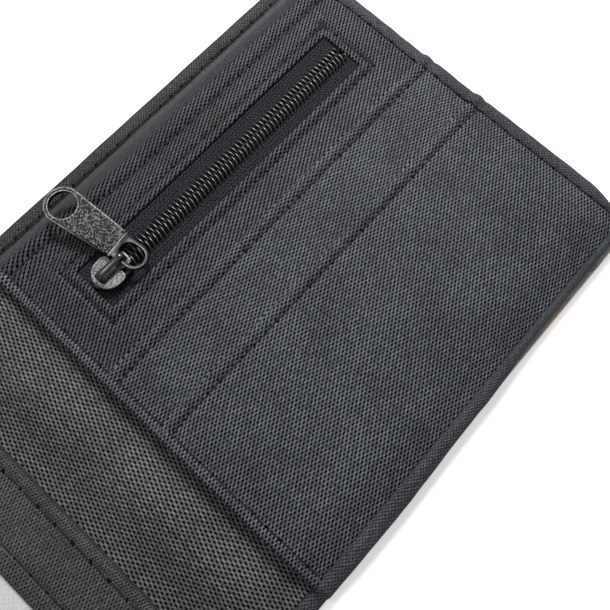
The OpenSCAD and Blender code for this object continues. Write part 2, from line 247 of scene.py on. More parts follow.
class Shader:
    """A short way to write a material's nodes"""

    def __init__(self, name):
        self.material = bpy.data.materials.new(name)
        self.material.use_nodes = True
        self.nodes = self.material.node_tree.nodes
        self.links = self.material.node_tree.links
        self.surface = self.nodes["Principled BSDF"]

    def set(self, **values):
        for key, value in values.items():
            self.surface.inputs[key.replace("_", " ")].default_value = value

    def plug(self, socket, value):
        if isinstance(value, bpy.types.NodeSocket):
            self.links.new(value, socket)
        else:
            socket.default_value = value

    def math(self, operation, a, b=0.0):
        node = self.nodes.new("ShaderNodeMath")
        node.operation = operation
        self.plug(node.inputs[0], a)
        self.plug(node.inputs[1], b)
        return node.outputs[0]

    def ramp(self, value, low, high, out_low=0.0, out_high=1.0):
        node = self.nodes.new("ShaderNodeMapRange")
        node.interpolation_type = "SMOOTHSTEP"
        for socket, v in zip(node.inputs, (value, low, high, out_low, out_high)):
            self.plug(socket, v)
        return node.outputs[0]

    def mix(self, factor, a, b, blend="MIX"):
        node = self.nodes.new("ShaderNodeMix")
        node.data_type = "RGBA"
        node.blend_type = blend
        self.plug(node.inputs[0], factor)
        for socket, value in ((node.inputs[6], a), (node.inputs[7], b)):
            linked = isinstance(value, bpy.types.NodeSocket)
            self.plug(socket, value if linked else (*value, 1.0)[:4])
        return node.outputs[2]

    def coordinates(self, uv="cloth"):
        """The piece's own cloth map in millimetres, or its object coordinates in millimetres"""
        if uv:
            node = self.nodes.new("ShaderNodeUVMap")
            node.uv_map = uv
            return node.outputs[0]
        node = self.nodes.new("ShaderNodeTexCoord")
        return self.mapped(node.outputs["Object"], (1 / MM, 1 / MM, 1 / MM))

    def mapped(self, vector, scale):
        node = self.nodes.new("ShaderNodeMapping")
        self.links.new(vector, node.inputs[0])
        node.inputs["Scale"].default_value = scale
        return node.outputs[0]

    def noise(self, vector, scale, detail=2.0, roughness=0.5):
        node = self.nodes.new("ShaderNodeTexNoise")
        self.links.new(vector, node.inputs["Vector"])
        node.inputs["Scale"].default_value = scale
        node.inputs["Detail"].default_value = detail
        node.inputs["Roughness"].default_value = roughness
        return node.outputs[0]

    def cells(self, vector, scale, feature="F1"):
        node = self.nodes.new("ShaderNodeTexVoronoi")
        node.feature = feature
        node.inputs["Scale"].default_value = scale
        self.links.new(vector, node.inputs["Vector"])
        return node.outputs

    def split(self, vector):
        node = self.nodes.new("ShaderNodeSeparateXYZ")
        self.links.new(vector, node.inputs[0])
        return node.outputs

    def bump(self, height, depth, strength=1.0):
        """Bump by a height from 0 to 1 that stands for a depth in millimetres"""
        node = self.nodes.new("ShaderNodeBump")
        node.inputs["Strength"].default_value = strength
        node.inputs["Distance"].default_value = depth * MM
        self.links.new(height, node.inputs["Height"])
        self.links.new(node.outputs[0], self.surface.inputs["Normal"])

    def colour(self, value):
        self.links.new(value, self.surface.inputs["Base Color"])

    def rough(self, value):
        self.links.new(value, self.surface.inputs["Roughness"])


def scaled(colour, factor):
    return tuple(min(1.0, c * factor) for c in colour[:3])


def weave(shader, u, v, vector, colour, painted_hollow_shade=0.06, dot=0.46, lean=0.12):
    """A plain weave on coordinates counted in floats: every second float is a small hollow painted dark as
    shade, and the crests are painted lighter as highlight
    """
    cell_u, cell_v = shader.math("FLOOR", u), shader.math("FLOOR", v)
    a = shader.math("SUBTRACT", shader.math("FRACT", u), 0.5)
    b = shader.math("SUBTRACT", shader.math("FRACT", v), 0.5)
    diagonal = 0.71
    across = shader.math("MULTIPLY", shader.math("ADD", a, b), diagonal * (1 - lean))
    along = shader.math("MULTIPLY", shader.math("SUBTRACT", a, b), diagonal * (1 + lean))
    off = shader.math("SQRT", shader.math("ADD", shader.math("MULTIPLY", across, across),
                                          shader.math("MULTIPLY", along, along)))
    parity = shader.math("FLOORED_MODULO", shader.math("ADD", cell_u, cell_v), 2.0)
    hollow = shader.math("MULTIPLY", shader.ramp(off, dot * 0.74, dot * 1.16, 1.0, 0.0), parity)
    crest = shader.math("MULTIPLY", shader.ramp(off, 0.05, 0.6, 1.0, 0.0),
                        shader.math("SUBTRACT", 1.0, parity))
    height = shader.math("SUBTRACT", shader.math("MULTIPLY", crest, 0.5), hollow)
    node = shader.nodes.new("ShaderNodeTexWhiteNoise")
    node.noise_dimensions = "2D"
    join = shader.nodes.new("ShaderNodeCombineXYZ")
    shader.plug(join.inputs[0], cell_u)
    shader.plug(join.inputs[1], cell_v)
    shader.links.new(join.outputs[0], node.inputs["Vector"])
    # Painted highlight: the floats are lighter on their crests
    yarn = shader.mix(crest, scaled(colour, 0.9), scaled(colour, 1.14))
    # Painted shade: the hollows are darkened to a small share of the colour
    tone = shader.mix(hollow, yarn, scaled(colour, painted_hollow_shade))
    uneven = shader.ramp(node.outputs[0], 0.0, 1.0, 0.7, 1.26)
    broad = shader.ramp(shader.noise(vector, 0.07, 3.0), 0.28, 0.72, 0.82, 1.15)
    grain = shader.ramp(shader.noise(vector, 3.2, 2.0, 0.65), 0.28, 0.72, 0.5, 1.5)
    level = shader.math("MULTIPLY", shader.math("MULTIPLY", uneven, broad), grain)
    grey = shader.nodes.new("ShaderNodeCombineColor")
    for socket in grey.inputs:
        shader.plug(socket, level)
    return shader.mix(1.0, tone, grey.outputs[0], "MULTIPLY"), height, hollow


def weave_material(name, colour, turned=False, painted_hollow_shade=0.06, dot=0.46, yarns=(1.0, 1.0), painted_glint=0.6,
                   lean=0.12, painted_shade=None):
    """Basket-weave polyester with a faint gloss on its yarns and painted glints of light on some fibres,
    darkened past a line by painted shade
    """
    shader = Shader(name)
    s = sizes()
    vector = shader.coordinates()
    bend = shader.mapped(vector, (0.12, 0.12, 0.12))
    wobble = shader.math("MULTIPLY", shader.math("SUBTRACT", shader.noise(bend, 1.0, 1.0), 0.5), 0.6)
    x, y, _ = shader.split(vector)
    if turned:
        x, y = y, x
    u = shader.math("ADD", shader.math("DIVIDE", x, s.yarn_long / MM * yarns[0]), wobble)
    v = shader.math("ADD", shader.math("DIVIDE", y, s.yarn_short / MM * yarns[1]), wobble)
    tone, height, hollow = weave(shader, u, v, vector, colour, painted_hollow_shade, dot, lean)
    # Painted shade: over a band from start to end the cloth is mixed towards near-black by up to share
    if painted_shade:
        start, end, share = painted_shade
        tone = shader.mix(shader.ramp(y, start, end, 0.0, share), tone, PAINTED_SHADE)
    # Painted highlights: where the fibre noise peaks, the colour is pushed towards 3.6 times its own as
    # glints of light; the hollows keep their painted shade
    fibre = shader.noise(shader.mapped(vector, (1, 2.2, 1)), 4.0, 3.0, 0.7)
    with_painted_glints = shader.mix(shader.ramp(fibre, 0.58, 0.76, 0.0, painted_glint), tone, scaled(colour, 3.6))
    shader.colour(shader.mix(hollow, with_painted_glints, tone))
    shader.bump(shader.math("ADD", height, shader.math("MULTIPLY", fibre, 0.3)), 0.09, 0.9)
    shader.rough(shader.ramp(hollow, 0.0, 1.0, 0.5, 0.8))
    gloss = shader.ramp(hollow, 0.0, 1.0, 0.15, 0.0)
    shader.links.new(gloss, shader.surface.inputs["Specular IOR Level"])
    return shader.material


def lining_material(colour):
    """Smooth lining with fine ribs across the bill opening"""
    rib_pitch = 0.42
    shader = Shader("ribbed lining")
    vector = shader.coordinates()
    x, _, _ = shader.split(vector)
    line = shader.math("SINE", shader.math("MULTIPLY", x, 2 * math.pi / rib_pitch))
    thread = shader.noise(shader.mapped(vector, (1, 0.18, 1)), 3.2, 3.0, 0.65)
    height = shader.math("ADD", shader.math("MULTIPLY", line, 0.22), thread)
    grain = shader.noise(vector, 3.2, 2.0, 0.6)
    mixed = shader.math("ADD", height, shader.math("MULTIPLY", shader.math("SUBTRACT", grain, 0.5), 1.6))
    shader.colour(shader.mix(shader.ramp(mixed, 0.1, 0.95), scaled(colour, 0.3), scaled(colour, 1.5)))
    shader.bump(height, 0.05, 0.6)
    shader.set(Roughness=0.6, Specular_IOR_Level=0.18)
    return shader.material


def print_material(name, worn):
    """The outer shell: soft abstract patches of colour on a close nylon weave, paler towards cream in
    fluffy patches by the share worn, partly as a faded print and partly as painted light
    """
    shader = Shader(name)
    vector = shader.coordinates()
    swirl = shader.nodes.new("ShaderNodeTexNoise")
    shader.links.new(vector, swirl.inputs["Vector"])
    swirl.inputs["Scale"].default_value = 0.045
    swirl.inputs["Detail"].default_value = 2.0
    bent = shader.nodes.new("ShaderNodeVectorMath")
    bent.operation = "MULTIPLY_ADD"
    shader.links.new(swirl.outputs["Color"], bent.inputs[0])
    bent.inputs[1].default_value = (26, 26, 0)
    shader.links.new(vector, bent.inputs[2])
    patch_scale = 0.085
    hue, _, _ = shader.split(shader.cells(bent.outputs[0], patch_scale)["Color"])
    ramp = shader.nodes.new("ShaderNodeValToRGB")
    shader.links.new(hue, ramp.inputs[0])
    ramp.color_ramp.interpolation = "CONSTANT"
    elements = ramp.color_ramp.elements
    while len(elements) < len(PRINT_PATCHES):
        elements.new(0.5)
    for element, (place, rgb) in zip(elements, PRINT_PATCHES):
        element.position = place
        element.color = (*rgb, 1)
    edge = shader.cells(bent.outputs[0], patch_scale, "DISTANCE_TO_EDGE")["Distance"]
    outline = shader.ramp(edge, 0.02, 0.05)
    inked = shader.mix(outline, PRINT_OUTLINE, ramp.outputs[0])
    x, y, _ = shader.split(vector)
    yarn = 0.36
    u, v = shader.math("DIVIDE", x, yarn), shader.math("DIVIDE", y, yarn)
    # The print's weave also gets painted shade in its hollows and a painted highlight on its crests
    cloth, height, _ = weave(shader, u, v, vector, (1.0, 1.0, 1.0), 0.5)
    printed = shader.mix(0.85, inked, cloth, "MULTIPLY")
    # Paler in fluffy patches: partly fading, partly painted light
    fluff = shader.ramp(shader.noise(vector, 2.2, 3.0), 0.3, 0.7, worn * 0.6, worn * 1.4)
    shader.colour(shader.mix(fluff, printed, FADED_NYLON_AND_PAINTED_LIGHT))
    shader.bump(height, 0.05, 0.7)
    shader.set(Roughness=0.6, Specular_IOR_Level=0.25)
    return shader.material


def thread_material(colour):
    """Twisted sewing thread"""
    shader = Shader("sewing thread")
    vector = shader.coordinates()
    x, y, _ = shader.split(vector)
    twist = shader.math("SINE", shader.math("ADD", shader.math("MULTIPLY", x, 14.0),
                                            shader.math("MULTIPLY", y, 9.0)))
    shader.colour(shader.mix(shader.ramp(twist, -1, 1), scaled(colour, 0.3), scaled(colour, 1.2)))
    shader.bump(twist, 0.04, 0.6)
    shader.set(Roughness=0.65, Specular_IOR_Level=0.2)
    return shader.material


def painted_hole_shade_material():
    """Painted shade that stands for the dark hole at a stitch's end: near-black fluff"""
    shader = Shader("painted needle hole shade")
    vector = shader.coordinates("")
    fluff = shader.noise(vector, 4.0, 3.0)
    shader.colour(shader.mix(shader.ramp(fluff, 0.4, 0.7), (0.002, 0.002, 0.002), (0.012, 0.012, 0.013)))
    shader.bump(fluff, 0.05, 0.5)
    shader.set(Roughness=0.9, Specular_IOR_Level=0.05)
    return shader.material


def tape_material(colour):
    """Fine herringbone of the zip tapes: slanting ribs that turn at every stripe"""
    shader = Shader("zip tape herringbone")
    vector = shader.coordinates()
    x, y, _ = shader.split(vector)
    stripe_w, rib_pitch, cross_pitch = 1.15, 0.86, 0.72
    slant = shader.math("ADD", x, shader.math("PINGPONG", y, stripe_w))
    rib = shader.math("SINE", shader.math("MULTIPLY", slant, 2 * math.pi / rib_pitch))
    cross = shader.math("SINE", shader.math("MULTIPLY", y, 2 * math.pi / cross_pitch))
    height = shader.math("ADD", shader.math("MULTIPLY", rib, 0.55), shader.math("MULTIPLY", cross, 0.45))
    uneven = shader.noise(vector, 2.6, 2.0, 0.65)
    mixed = shader.math("ADD", height, shader.math("MULTIPLY", uneven, 7.0))
    shader.colour(shader.mix(shader.ramp(mixed, 2.5, 4.6), scaled(colour, 0.12), scaled(colour, 2.5)))
    shader.bump(mixed, 0.04, 0.6)
    shader.set(Roughness=0.8, Specular_IOR_Level=0.1)
    return shader.material


def cord_material():
    """The matt filler cord inside each coil row"""
    shader = Shader("filler cord")
    vector = shader.coordinates("")
    fluff = shader.noise(vector, 3.0, 3.0)
    shader.colour(shader.mix(shader.ramp(fluff, 0.35, 0.7), (0.003, 0.003, 0.004), (0.012, 0.012, 0.014)))
    shader.bump(fluff, 0.05, 0.5)
    shader.set(Roughness=0.9, Specular_IOR_Level=0.1)
    return shader.material


def coil_material():
    """Glossy black nylon monofilament"""
    shader = Shader("nylon coil")
    vector = shader.coordinates("")
    grain = shader.noise(vector, 1.6, 3.0)
    shader.colour(shader.mix(shader.ramp(grain, 0.3, 0.7), (0.004, 0.004, 0.005), (0.014, 0.014, 0.016)))
    shader.rough(shader.ramp(grain, 0.3, 0.7, 0.16, 0.26))
    shader.bump(grain, 0.02, 0.3)
    shader.set(Specular_IOR_Level=0.55)
    return shader.material


def enamel_material(name, colour, wear_and_highlight_colour, wear_and_highlight_from, wear_and_highlight_to, rough_low, rough_high):
    """Black enamel over die-cast metal, with orange peel, worn through to grey metal in places; on the rims
    and the slider's cap these grey patches are painted highlights
    """
    shader = Shader(name)
    vector = shader.coordinates("")
    peel = shader.noise(vector, 0.8, 2.0, 0.5)
    wear_and_glint = shader.noise(vector, 4.0, 4.0, 0.7)
    shader.colour(shader.mix(shader.ramp(wear_and_glint, wear_and_highlight_from, wear_and_highlight_to), colour, wear_and_highlight_colour))
    shader.bump(shader.math("ADD", peel, shader.math("MULTIPLY", wear_and_glint, 0.25)), 0.03, 0.4)
    shader.rough(shader.ramp(peel, 0.3, 0.7, rough_low, rough_high))
    shader.set(Specular_IOR_Level=0.3)
    return shader.material


def stippled_material(colour):
    """The puller's sunken face, stippled: grey on its grains as worn metal and as painted glints, and
    painted darker than the enamel in its pits as shade
    """
    shader = Shader("stippled enamel")
    vector = shader.coordinates("")
    wear_and_glint = shader.noise(vector, 4.0, 4.0, 0.7)
    grit = shader.cells(vector, 3.0)["Distance"]
    height = shader.math("ADD", grit, shader.math("MULTIPLY", wear_and_glint, 0.9))
    # Painted shade in the pits, a quarter of the enamel's colour; grey on the grains as worn metal and
    # painted glints
    shader.colour(shader.mix(shader.ramp(height, 0.9, 1.2), scaled(colour, 0.25), GRAIN_WEAR_AND_GLINT))
    shader.bump(height, 0.25, 1.0)
    shader.rough(shader.ramp(wear_and_glint, 0.3, 0.7, 0.13, 0.22))
    shader.set(Specular_IOR_Level=0.2)
    return shader.material


def card_material(colour):
    """Plain uncoated card with a faint fibre"""
    shader = Shader("insert card")
    vector = shader.coordinates("")
    fibre = shader.noise(vector, 1.5, 4.0, 0.7)
    x, y, _ = shader.split(vector)
    emboss_pitch = 1.1
    dots = shader.math("MULTIPLY",
                       shader.math("SINE", shader.math("MULTIPLY", x, 2 * math.pi / emboss_pitch)),
                       shader.math("SINE", shader.math("MULTIPLY", y, 2 * math.pi / emboss_pitch)))
    height = shader.math("ADD", fibre, shader.math("MULTIPLY", dots, 0.5))
    shader.colour(shader.mix(shader.ramp(height, 0.1, 0.9), scaled(colour, 0.88), scaled(colour, 1.06)))
    shader.bump(height, 0.04, 0.5)
    shader.set(Roughness=0.8)
    return shader.material


def board_material():
    """Grey stiffener board"""
    shader = Shader("stiffener board")
    vector = shader.coordinates("")
    fibre = shader.noise(vector, 1.2, 4.0, 0.7)
    shader.colour(shader.mix(shader.ramp(fibre, 0.3, 0.7), (0.36, 0.33, 0.28), (0.5, 0.47, 0.41)))
    shader.bump(fibre, 0.04, 0.4)
    shader.set(Roughness=0.85)
    return shader.material


def clear_material():
    """Clear soft vinyl with a faint haze and scratches"""
    shader = Shader("clear vinyl")
    vector = shader.coordinates("")
    haze = shader.noise(shader.mapped(vector, (1, 0.25, 1)), 0.7, 4.0, 0.7)
    shader.colour(shader.mix(shader.ramp(haze, 0.3, 0.7), (0.93, 0.95, 0.96), (1.0, 1.0, 1.0)))
    shader.rough(shader.ramp(haze, 0.3, 0.8, 0.06, 0.16))
    shader.bump(shader.noise(vector, 0.1, 2.0), 0.25, 0.35)
    shader.set(Alpha=0.22, IOR=1.5, Specular_IOR_Level=0.5)
    return shader.material


MATERIALS = {}


def material(name):
    """The wallet's materials by their short names, each made once"""
    c = colours()
    makers = {
        "panel": lambda: weave_material("panel weave", tuple(c.panel), painted_hollow_shade=0.03, dot=0.49),
        # The coin pocket's cloth gets painted shade over a band above the zip
        "front": lambda: weave_material("coin pocket weave", FRONT_WEAVE, painted_hollow_shade=0.04, dot=0.48, painted_glint=0.7,
                                        lean=0.34, painted_shade=(ZIP_Y, ZIP_Y + 8.0, 0.24)),
        "spine": lambda: weave_material("spine weave", tuple(c.spine), turned=True, painted_hollow_shade=0.03, dot=0.48,
                                        painted_glint=0.8),
        "frame": lambda: weave_material("frame weave", scaled(c.spine, 0.62), painted_hollow_shade=0.12, dot=0.4,
                                        yarns=(0.78, 0.78), painted_glint=0.35),
        "lining": lambda: lining_material(tuple(c.lining)),
        "hem": lambda: weave_material("hem weave", HEM_WEAVE, painted_hollow_shade=0.42, dot=0.4,
                                      yarns=(0.5, 0.8), painted_glint=0.5),
        "binding": lambda: weave_material("binding weave", BINDING_WEAVE, painted_hollow_shade=0.22, dot=0.39,
                                          yarns=(0.6, 0.7), painted_glint=0.6),
        "backing": lambda: weave_material("pocket lining", scaled(c.lining, 1.3), painted_hollow_shade=0.5, dot=0.4),
        "cord": cord_material,
        "hole": painted_hole_shade_material,
        "print": lambda: print_material("printed nylon", 0.0),
        # The shell's turned edge, which lies in shade, is painted paler as light on top of its fading
        "pale print and painted light": lambda: print_material("pale printed edge with painted light", 0.62),
        "thread": lambda: thread_material(tuple(c.thread)),
        "tape": lambda: tape_material(tuple(c.tape)),
        "coil": coil_material,
        "enamel": lambda: enamel_material("gloss enamel", tuple(c.enamel), SCUFFED_METAL, 0.66, 0.74,
                                          0.14, 0.22),
        # The slider's cap, and the rims of slider and puller, carry painted highlights in grey patches; the
        # rims' own enamel is painted twice as light as well
        "cast": lambda: enamel_material("enamel with painted cap highlights", tuple(c.enamel), PAINTED_CAP_HIGHLIGHT, 0.42, 0.6, 0.2, 0.3),
        "rim": lambda: enamel_material("rim with painted highlights", scaled(c.enamel, 2.0), PAINTED_RIM_HIGHLIGHT, 0.4, 0.6, 0.22, 0.32),
        "stippled": lambda: stippled_material(tuple(c.enamel)),
        "card": lambda: card_material(tuple(c.card)),
        "board": board_material,
        "clear": clear_material,
    }
    if name not in MATERIALS:
        MATERIALS[name] = makers[name]()
    return MATERIALS[name]


# ---------------------------------------------------------------- shape helpers

def smooth(t):
    t = min(1.0, max(0.0, t))
    return t * t * (3 - 2 * t)


def roll(distance, radius):
    """How far a folded edge of that radius drops at a distance from its end"""
    if distance >= radius:
        return 0.0
    run = radius - max(distance, 0.0)
    return radius - math.sqrt(max(radius * radius - run * run, 0.0))


def groove(distance, width, depth):
    """Depth of a soft groove at a distance from its line"""
    return depth * math.exp(-(distance / width) ** 2)


def ripple(x, y, length_x, length_y, seed):
    """A smooth uneven height between -1 and 1, with its own lengths along x and y"""
    return noise.noise(Vector((x / length_x, y / length_y, seed)))


def edge_distance(x, y):
    """Distance to the outer side or the bottom of a half, going round the bottom corner"""
    dx, dy = HALF_W - x, y - BOTTOM_Y
    if dx < CORNER_R and dy < CORNER_R:
        return CORNER_R - math.hypot(CORNER_R - dx, CORNER_R - dy)
    return min(dx, dy)


def window_distances(x, y, window):
    """Distance out from a window round its corners, and the same with its corners left square"""
    wx0, wx1, wy0, wy1 = window
    dx, dy = max(wx0 - x, x - wx1), max(wy0 - y, y - wy1)
    square = max(dx, dy)
    return (square if square <= 0 or min(dx, dy) <= 0 else math.hypot(dx, dy)), square


def crease(x, y, start, end, width, depth):
    """A pulled fold in the cloth, deepest at its start"""
    a, b = Vector(start), Vector(end)
    run = b - a
    t = min(1.0, max(0.0, (Vector((x, y)) - a).dot(run) / run.length_squared))
    away = (Vector((x, y)) - a - run * t).length
    return groove(away, width, depth * (1 - 0.7 * t))


def past_stitches(d):
    """Rises from 0 to 1 from inside the edge's stitches to outside them"""
    return smooth((EDGE_STITCH + 0.35 - d) / 0.7)


def settle(x, y, z):
    """Where a layer at height z lies once the edges are sewn down: the stack is thin at its seams"""
    d = edge_distance(x, y)
    crown_run, fold_run, top_run = 13.0, 9.0, 8.0
    beside = smooth(0.5 + (y - BOTTOM_Y - HALF_W + x) / 16.0)
    crown = sizes().crown * (1 - beside * (0.4 + 0.6 * smooth((y + 12) / 42.0)))
    edge = 1 - crown * (1 - smooth(d / crown_run)) ** 1.4
    side = 1 - 0.38 * (1 - smooth((x - TURN_X) / fold_run))
    top = 1 - 0.5 * (1 - smooth((PANEL_TOP - 2.0 - y) / top_run))
    if z > BASE_TOP:
        z = BASE_TOP + (z - BASE_TOP) * side * top
    z = SHELL_T + (z - SHELL_T) * edge
    if z > SHELL_T + 0.3:
        free = smooth((d - 3.0) / 8.0) * smooth((x - TURN_X) / 6.0)
        z += (0.16 * ripple(x, y, 27.0, 24.0, 3.1) + 0.05 * ripple(x, y, 9.0, 11.0, 8.4)) * free
    z -= groove(d - 5.0, 1.6, 0.12)
    return z - 0.55 * past_stitches(d)


def top_stitch_y(x):
    """The stitches under the coin pocket's top edge drift down towards the outer side"""
    return PANEL_TOP - 2.2 - 1.5 * smooth((x - PANEL_X) / 45.0)


def drawn_up(x, y):
    """How far the panels' top edge is pulled up beside the spine"""
    pull, rise_x, fade_x, rise_y = 1.6, 11.0, 34.0, 7.0
    along = smooth(x / rise_x) * (1 - smooth((x - 16) / fade_x))
    return pull * along * smooth((y - DRAWN_FROM_Y) / rise_y)


def back_lift(y):
    """The back layer stands a little off the floor along the bill opening"""
    lift, run = 2.4, 6.5
    return lift * smooth((y - BACK_LIFT_FROM_Y) / run)


def margin_end(x, y):
    """How far inside the shell's outline the panels' turned edge ends: it draws back along the bottom"""
    low = -0.4 + 0.7 * smooth((x - 28) / 30.0) + smooth((x - 58) / 20.0)
    at_side = -0.25
    beside = smooth((y - BOTTOM_Y - 4) / 9.0)
    return low + (at_side - low) * beside


def tucked(x, y):
    """A sheet's edge moved in behind the turned edge, where the printed shell shows beyond it"""
    d = edge_distance(x, y)
    reach = 2.4
    depth = max(0.0, margin_end(x, y) - 0.5) * (1 - smooth((d - 1.0) / reach))
    from_side, from_bottom = HALF_W - x, y - BOTTOM_Y
    if from_side < CORNER_R and from_bottom < CORNER_R:
        inward = Vector((from_side - CORNER_R, CORNER_R - from_bottom)).normalized()
    else:
        inward = Vector((0, 1)) if from_bottom < from_side else Vector((-1, 0))
    return x + depth * inward.x, y + depth * inward.y


def front_top(x, y):
    """The coin pocket's front: folded at the window and at its top edge"""
    z = settle(x, y, FRONT_TOP)
    d, square = window_distances(x, y, WINDOW)
    z -= roll(d, 0.42)
    z -= groove(square - WINDOW_SEAM, 0.6, 0.5)
    z += groove(square - WINDOW_SEAM / 2, 0.9, 0.2)
    z -= roll(PANEL_TOP - y, 0.6)
    z -= groove(top_stitch_y(x) - y, 0.6, 0.5)
    z += groove(PANEL_TOP - 1.6 - y, 1.1, 0.15)
    for fold in FRONT_CREASES:
        z -= crease(x, y, *fold)
    return z


def pocket_top(height, slot_y):
    """A card pocket's sheet whose folded top edge is the slot"""

    def top(x, y):
        z = settle(x, y, height)
        middle = smooth((x - TURN_X) / 20.0) * smooth((HALF_W - x) / 20.0)
        z += 0.07 * middle * smooth((y - slot_y + 12) / 12)
        z -= roll(slot_y - y, 0.5)
        z -= groove(slot_y - HEM_STITCH - y, 0.6, 0.5)
        z += groove(slot_y - 1.25 - y, 0.95, 0.24)
        return z

    return top


def frame_top(x, y):
    """The card window's fabric frame, drawn on the +X side and mirrored"""
    z = settle(x, y, FRAME_TOP)
    d, square = window_distances(x, y, ID_WINDOW)
    z -= roll(d, 0.42)
    z -= groove(square - ID_SEAM, 0.45, 0.3)
    z += groove(square - 1.7, 1.3, 0.14)
    z -= roll(PANEL_TOP - y, 0.6)
    z -= groove(PANEL_TOP - TOP_SEAM - y, 0.45, 0.3)
    return z


def add_grid(bm, x0, x1, y0, y1, step):
    """A flat grid between two corners, by steps of about the given size"""
    columns, rows = max(1, round((x1 - x0) / step)), max(1, round((y1 - y0) / step))
    bmesh.ops.create_grid(bm, x_segments=columns, y_segments=rows, size=0.5)
    spread = Matrix.Diagonal((x1 - x0, y1 - y0, 1, 1))
    place = Matrix.Translation(((x0 + x1) / 2, (y0 + y1) / 2, 0)) @ spread
    bmesh.ops.transform(bm, matrix=place, verts=bm.verts)


def add_block(bm, size, centre):
    """A block of a given size about a centre, to be rounded later, as its vertices"""
    made = bmesh.ops.create_cube(bm, size=1.0)["verts"]
    bmesh.ops.scale(bm, verts=made, vec=size)
    bmesh.ops.translate(bm, verts=made, vec=centre)
    return made


def cut(bm, axis, values):
    """Cuts the sheet along lines across an axis, so that a fold or groove has its own rows"""
    normal = Vector((1, 0, 0)) if axis == 0 else Vector((0, 1, 0))
    for value in values:
        geometry = bm.verts[:] + bm.edges[:] + bm.faces[:]
        bmesh.ops.bisect_plane(bm, geom=geometry, dist=0.02, plane_co=normal * value, plane_no=normal)


def cut_window(bm, window):
    """Opens a rectangular window with extra rows round it for its folded edge"""
    x0, x1, y0, y1 = window
    folds = (0.0, 0.12, 0.3, 0.55, 1.0)
    cut(bm, 0, [x0 - f for f in folds] + [x1 + f for f in folds])
    cut(bm, 1, [y0 - f for f in folds] + [y1 + f for f in folds])
    inside = [f for f in bm.faces
              if x0 < f.calc_center_median().x < x1 and y0 < f.calc_center_median().y < y1]
    bmesh.ops.delete(bm, geom=inside, context="FACES")


def round_corner(bm, x_edge, y_edge, radius, up):
    """Pushes the sheet's square corner in to a round one"""
    cx, cy = x_edge - radius, y_edge - up * radius
    for v in bm.verts:
        a, b = (v.co.x - cx) / radius, up * (v.co.y - cy) / radius
        if a > 0 and b > 0:
            shrink = max(a, b) / math.hypot(a, b)
            v.co.x, v.co.y = cx + a * shrink * radius, cy + up * b * shrink * radius


def lay_cloth_map(bm, grain=(0.0, 1.0, 1.0), side=1):
    """The cloth map: flat coordinates in millimetres, turned and stretched as the piece was cut"""
    turn, loose_x, loose_y = grain
    c, s = math.cos(math.radians(turn)), math.sin(math.radians(turn))
    layer = bm.loops.layers.uv.get("cloth") or bm.loops.layers.uv.new("cloth")
    for face in bm.faces:
        for loop in face.loops:
            x, y = side * loop.vert.co.x, loop.vert.co.y
            loop[layer].uv = ((x * c + y * s) / loose_x, (y * c - x * s) / loose_y)


def add_mapped_grid(bm, columns, rows, cloth):
    """A grid with the cloth map cloth(u, w), as its vertices with their shares u and w along it"""
    bmesh.ops.create_grid(bm, x_segments=columns, y_segments=rows, size=0.5)
    layer = bm.loops.layers.uv.new("cloth")
    shares = {v: (v.co.x + 0.5, v.co.y + 0.5) for v in bm.verts}
    for face in bm.faces:
        for loop in face.loops:
            loop[layer].uv = cloth(*shares[loop.vert])
    return shares


def make_piece(name, bm, material_name, side=1, normals=False):
    """Turns a bmesh in millimetres into a finished object, mirrored to the left for side -1"""
    bmesh.ops.scale(bm, vec=(side * MM, MM, MM), verts=bm.verts)
    if side < 0:
        bmesh.ops.reverse_faces(bm, faces=bm.faces)
    if normals:
        bmesh.ops.recalc_face_normals(bm, faces=bm.faces)
    mesh = bpy.data.meshes.new(name)
    bm.to_mesh(mesh)
    bm.free()
    mesh.shade_smooth()
    mesh.materials.append(material(material_name))
    piece = bpy.data.objects.new(name, mesh)
    bpy.context.scene.collection.objects.link(piece)
    return piece


def thicken(piece, thickness):
    """Gives a sheet its thickness, downwards from its upper face"""
    wall = piece.modifiers.new("cloth thickness", "SOLIDIFY")
    wall.thickness = thickness * MM
    wall.offset = -1.0
    wall.use_even_offset = False
    return piece


def round_edges(piece, width, segments, sharpest):
    """Rounds a casting's edges that turn by more than an angle in degrees"""
    rounding = piece.modifiers.new("cast edges", "BEVEL")
    rounding.width = width * MM
    rounding.segments = segments
    rounding.limit_method = "ANGLE"
    rounding.angle_limit = math.radians(sharpest)


def half_name(side):
    return "right" if side > 0 else "left"


def half_body(side):
    return "right_half" if side > 0 else "left_half"


def bend_at_fold(piece, side):
    """Bakes a piece's placement into its mesh, the same on either half"""
    if side > 0:
        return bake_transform(piece)
    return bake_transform(piece)


def sheet_piece(name, material_name, top, x0, x1, y0, y1, side, step, thickness,
                window=None, corners=((-1, CORNER_R),), cuts_x=(), cuts_y=(), grain=(0.0, 1.0, 1.0),
                drawn=False):
    """A sheet: a grid with its folds cut in, its corners rounded and its height given by top"""
    bm = bmesh.new()
    add_grid(bm, x0, x1, y0, y1, step)
    cut(bm, 0, cuts_x)
    cut(bm, 1, cuts_y)
    if window:
        cut_window(bm, window)
    for up, radius in corners:
        round_corner(bm, x1, y0 if up < 0 else y1, radius, up)
    lay_cloth_map(bm, grain, side)
    for v in bm.verts:
        v.co.z = top(v.co.x, v.co.y)
        if drawn:
            v.co.y += drawn_up(v.co.x, v.co.y)
        v.co.x, v.co.y = tucked(v.co.x, v.co.y)
    piece = make_piece(name, bm, material_name, side)
    return thicken(piece, thickness)


def edge_rows(edge, direction):
    """Rows close to a folded edge"""
    return [edge + direction * f for f in (0.08, 0.2, 0.36, 0.6, 0.9)]


def stitch_rows(line):
    """Rows for the groove along a line of stitches"""
    return [line + f for f in (-0.75, -0.35, 0.0, 0.35, 0.75)]


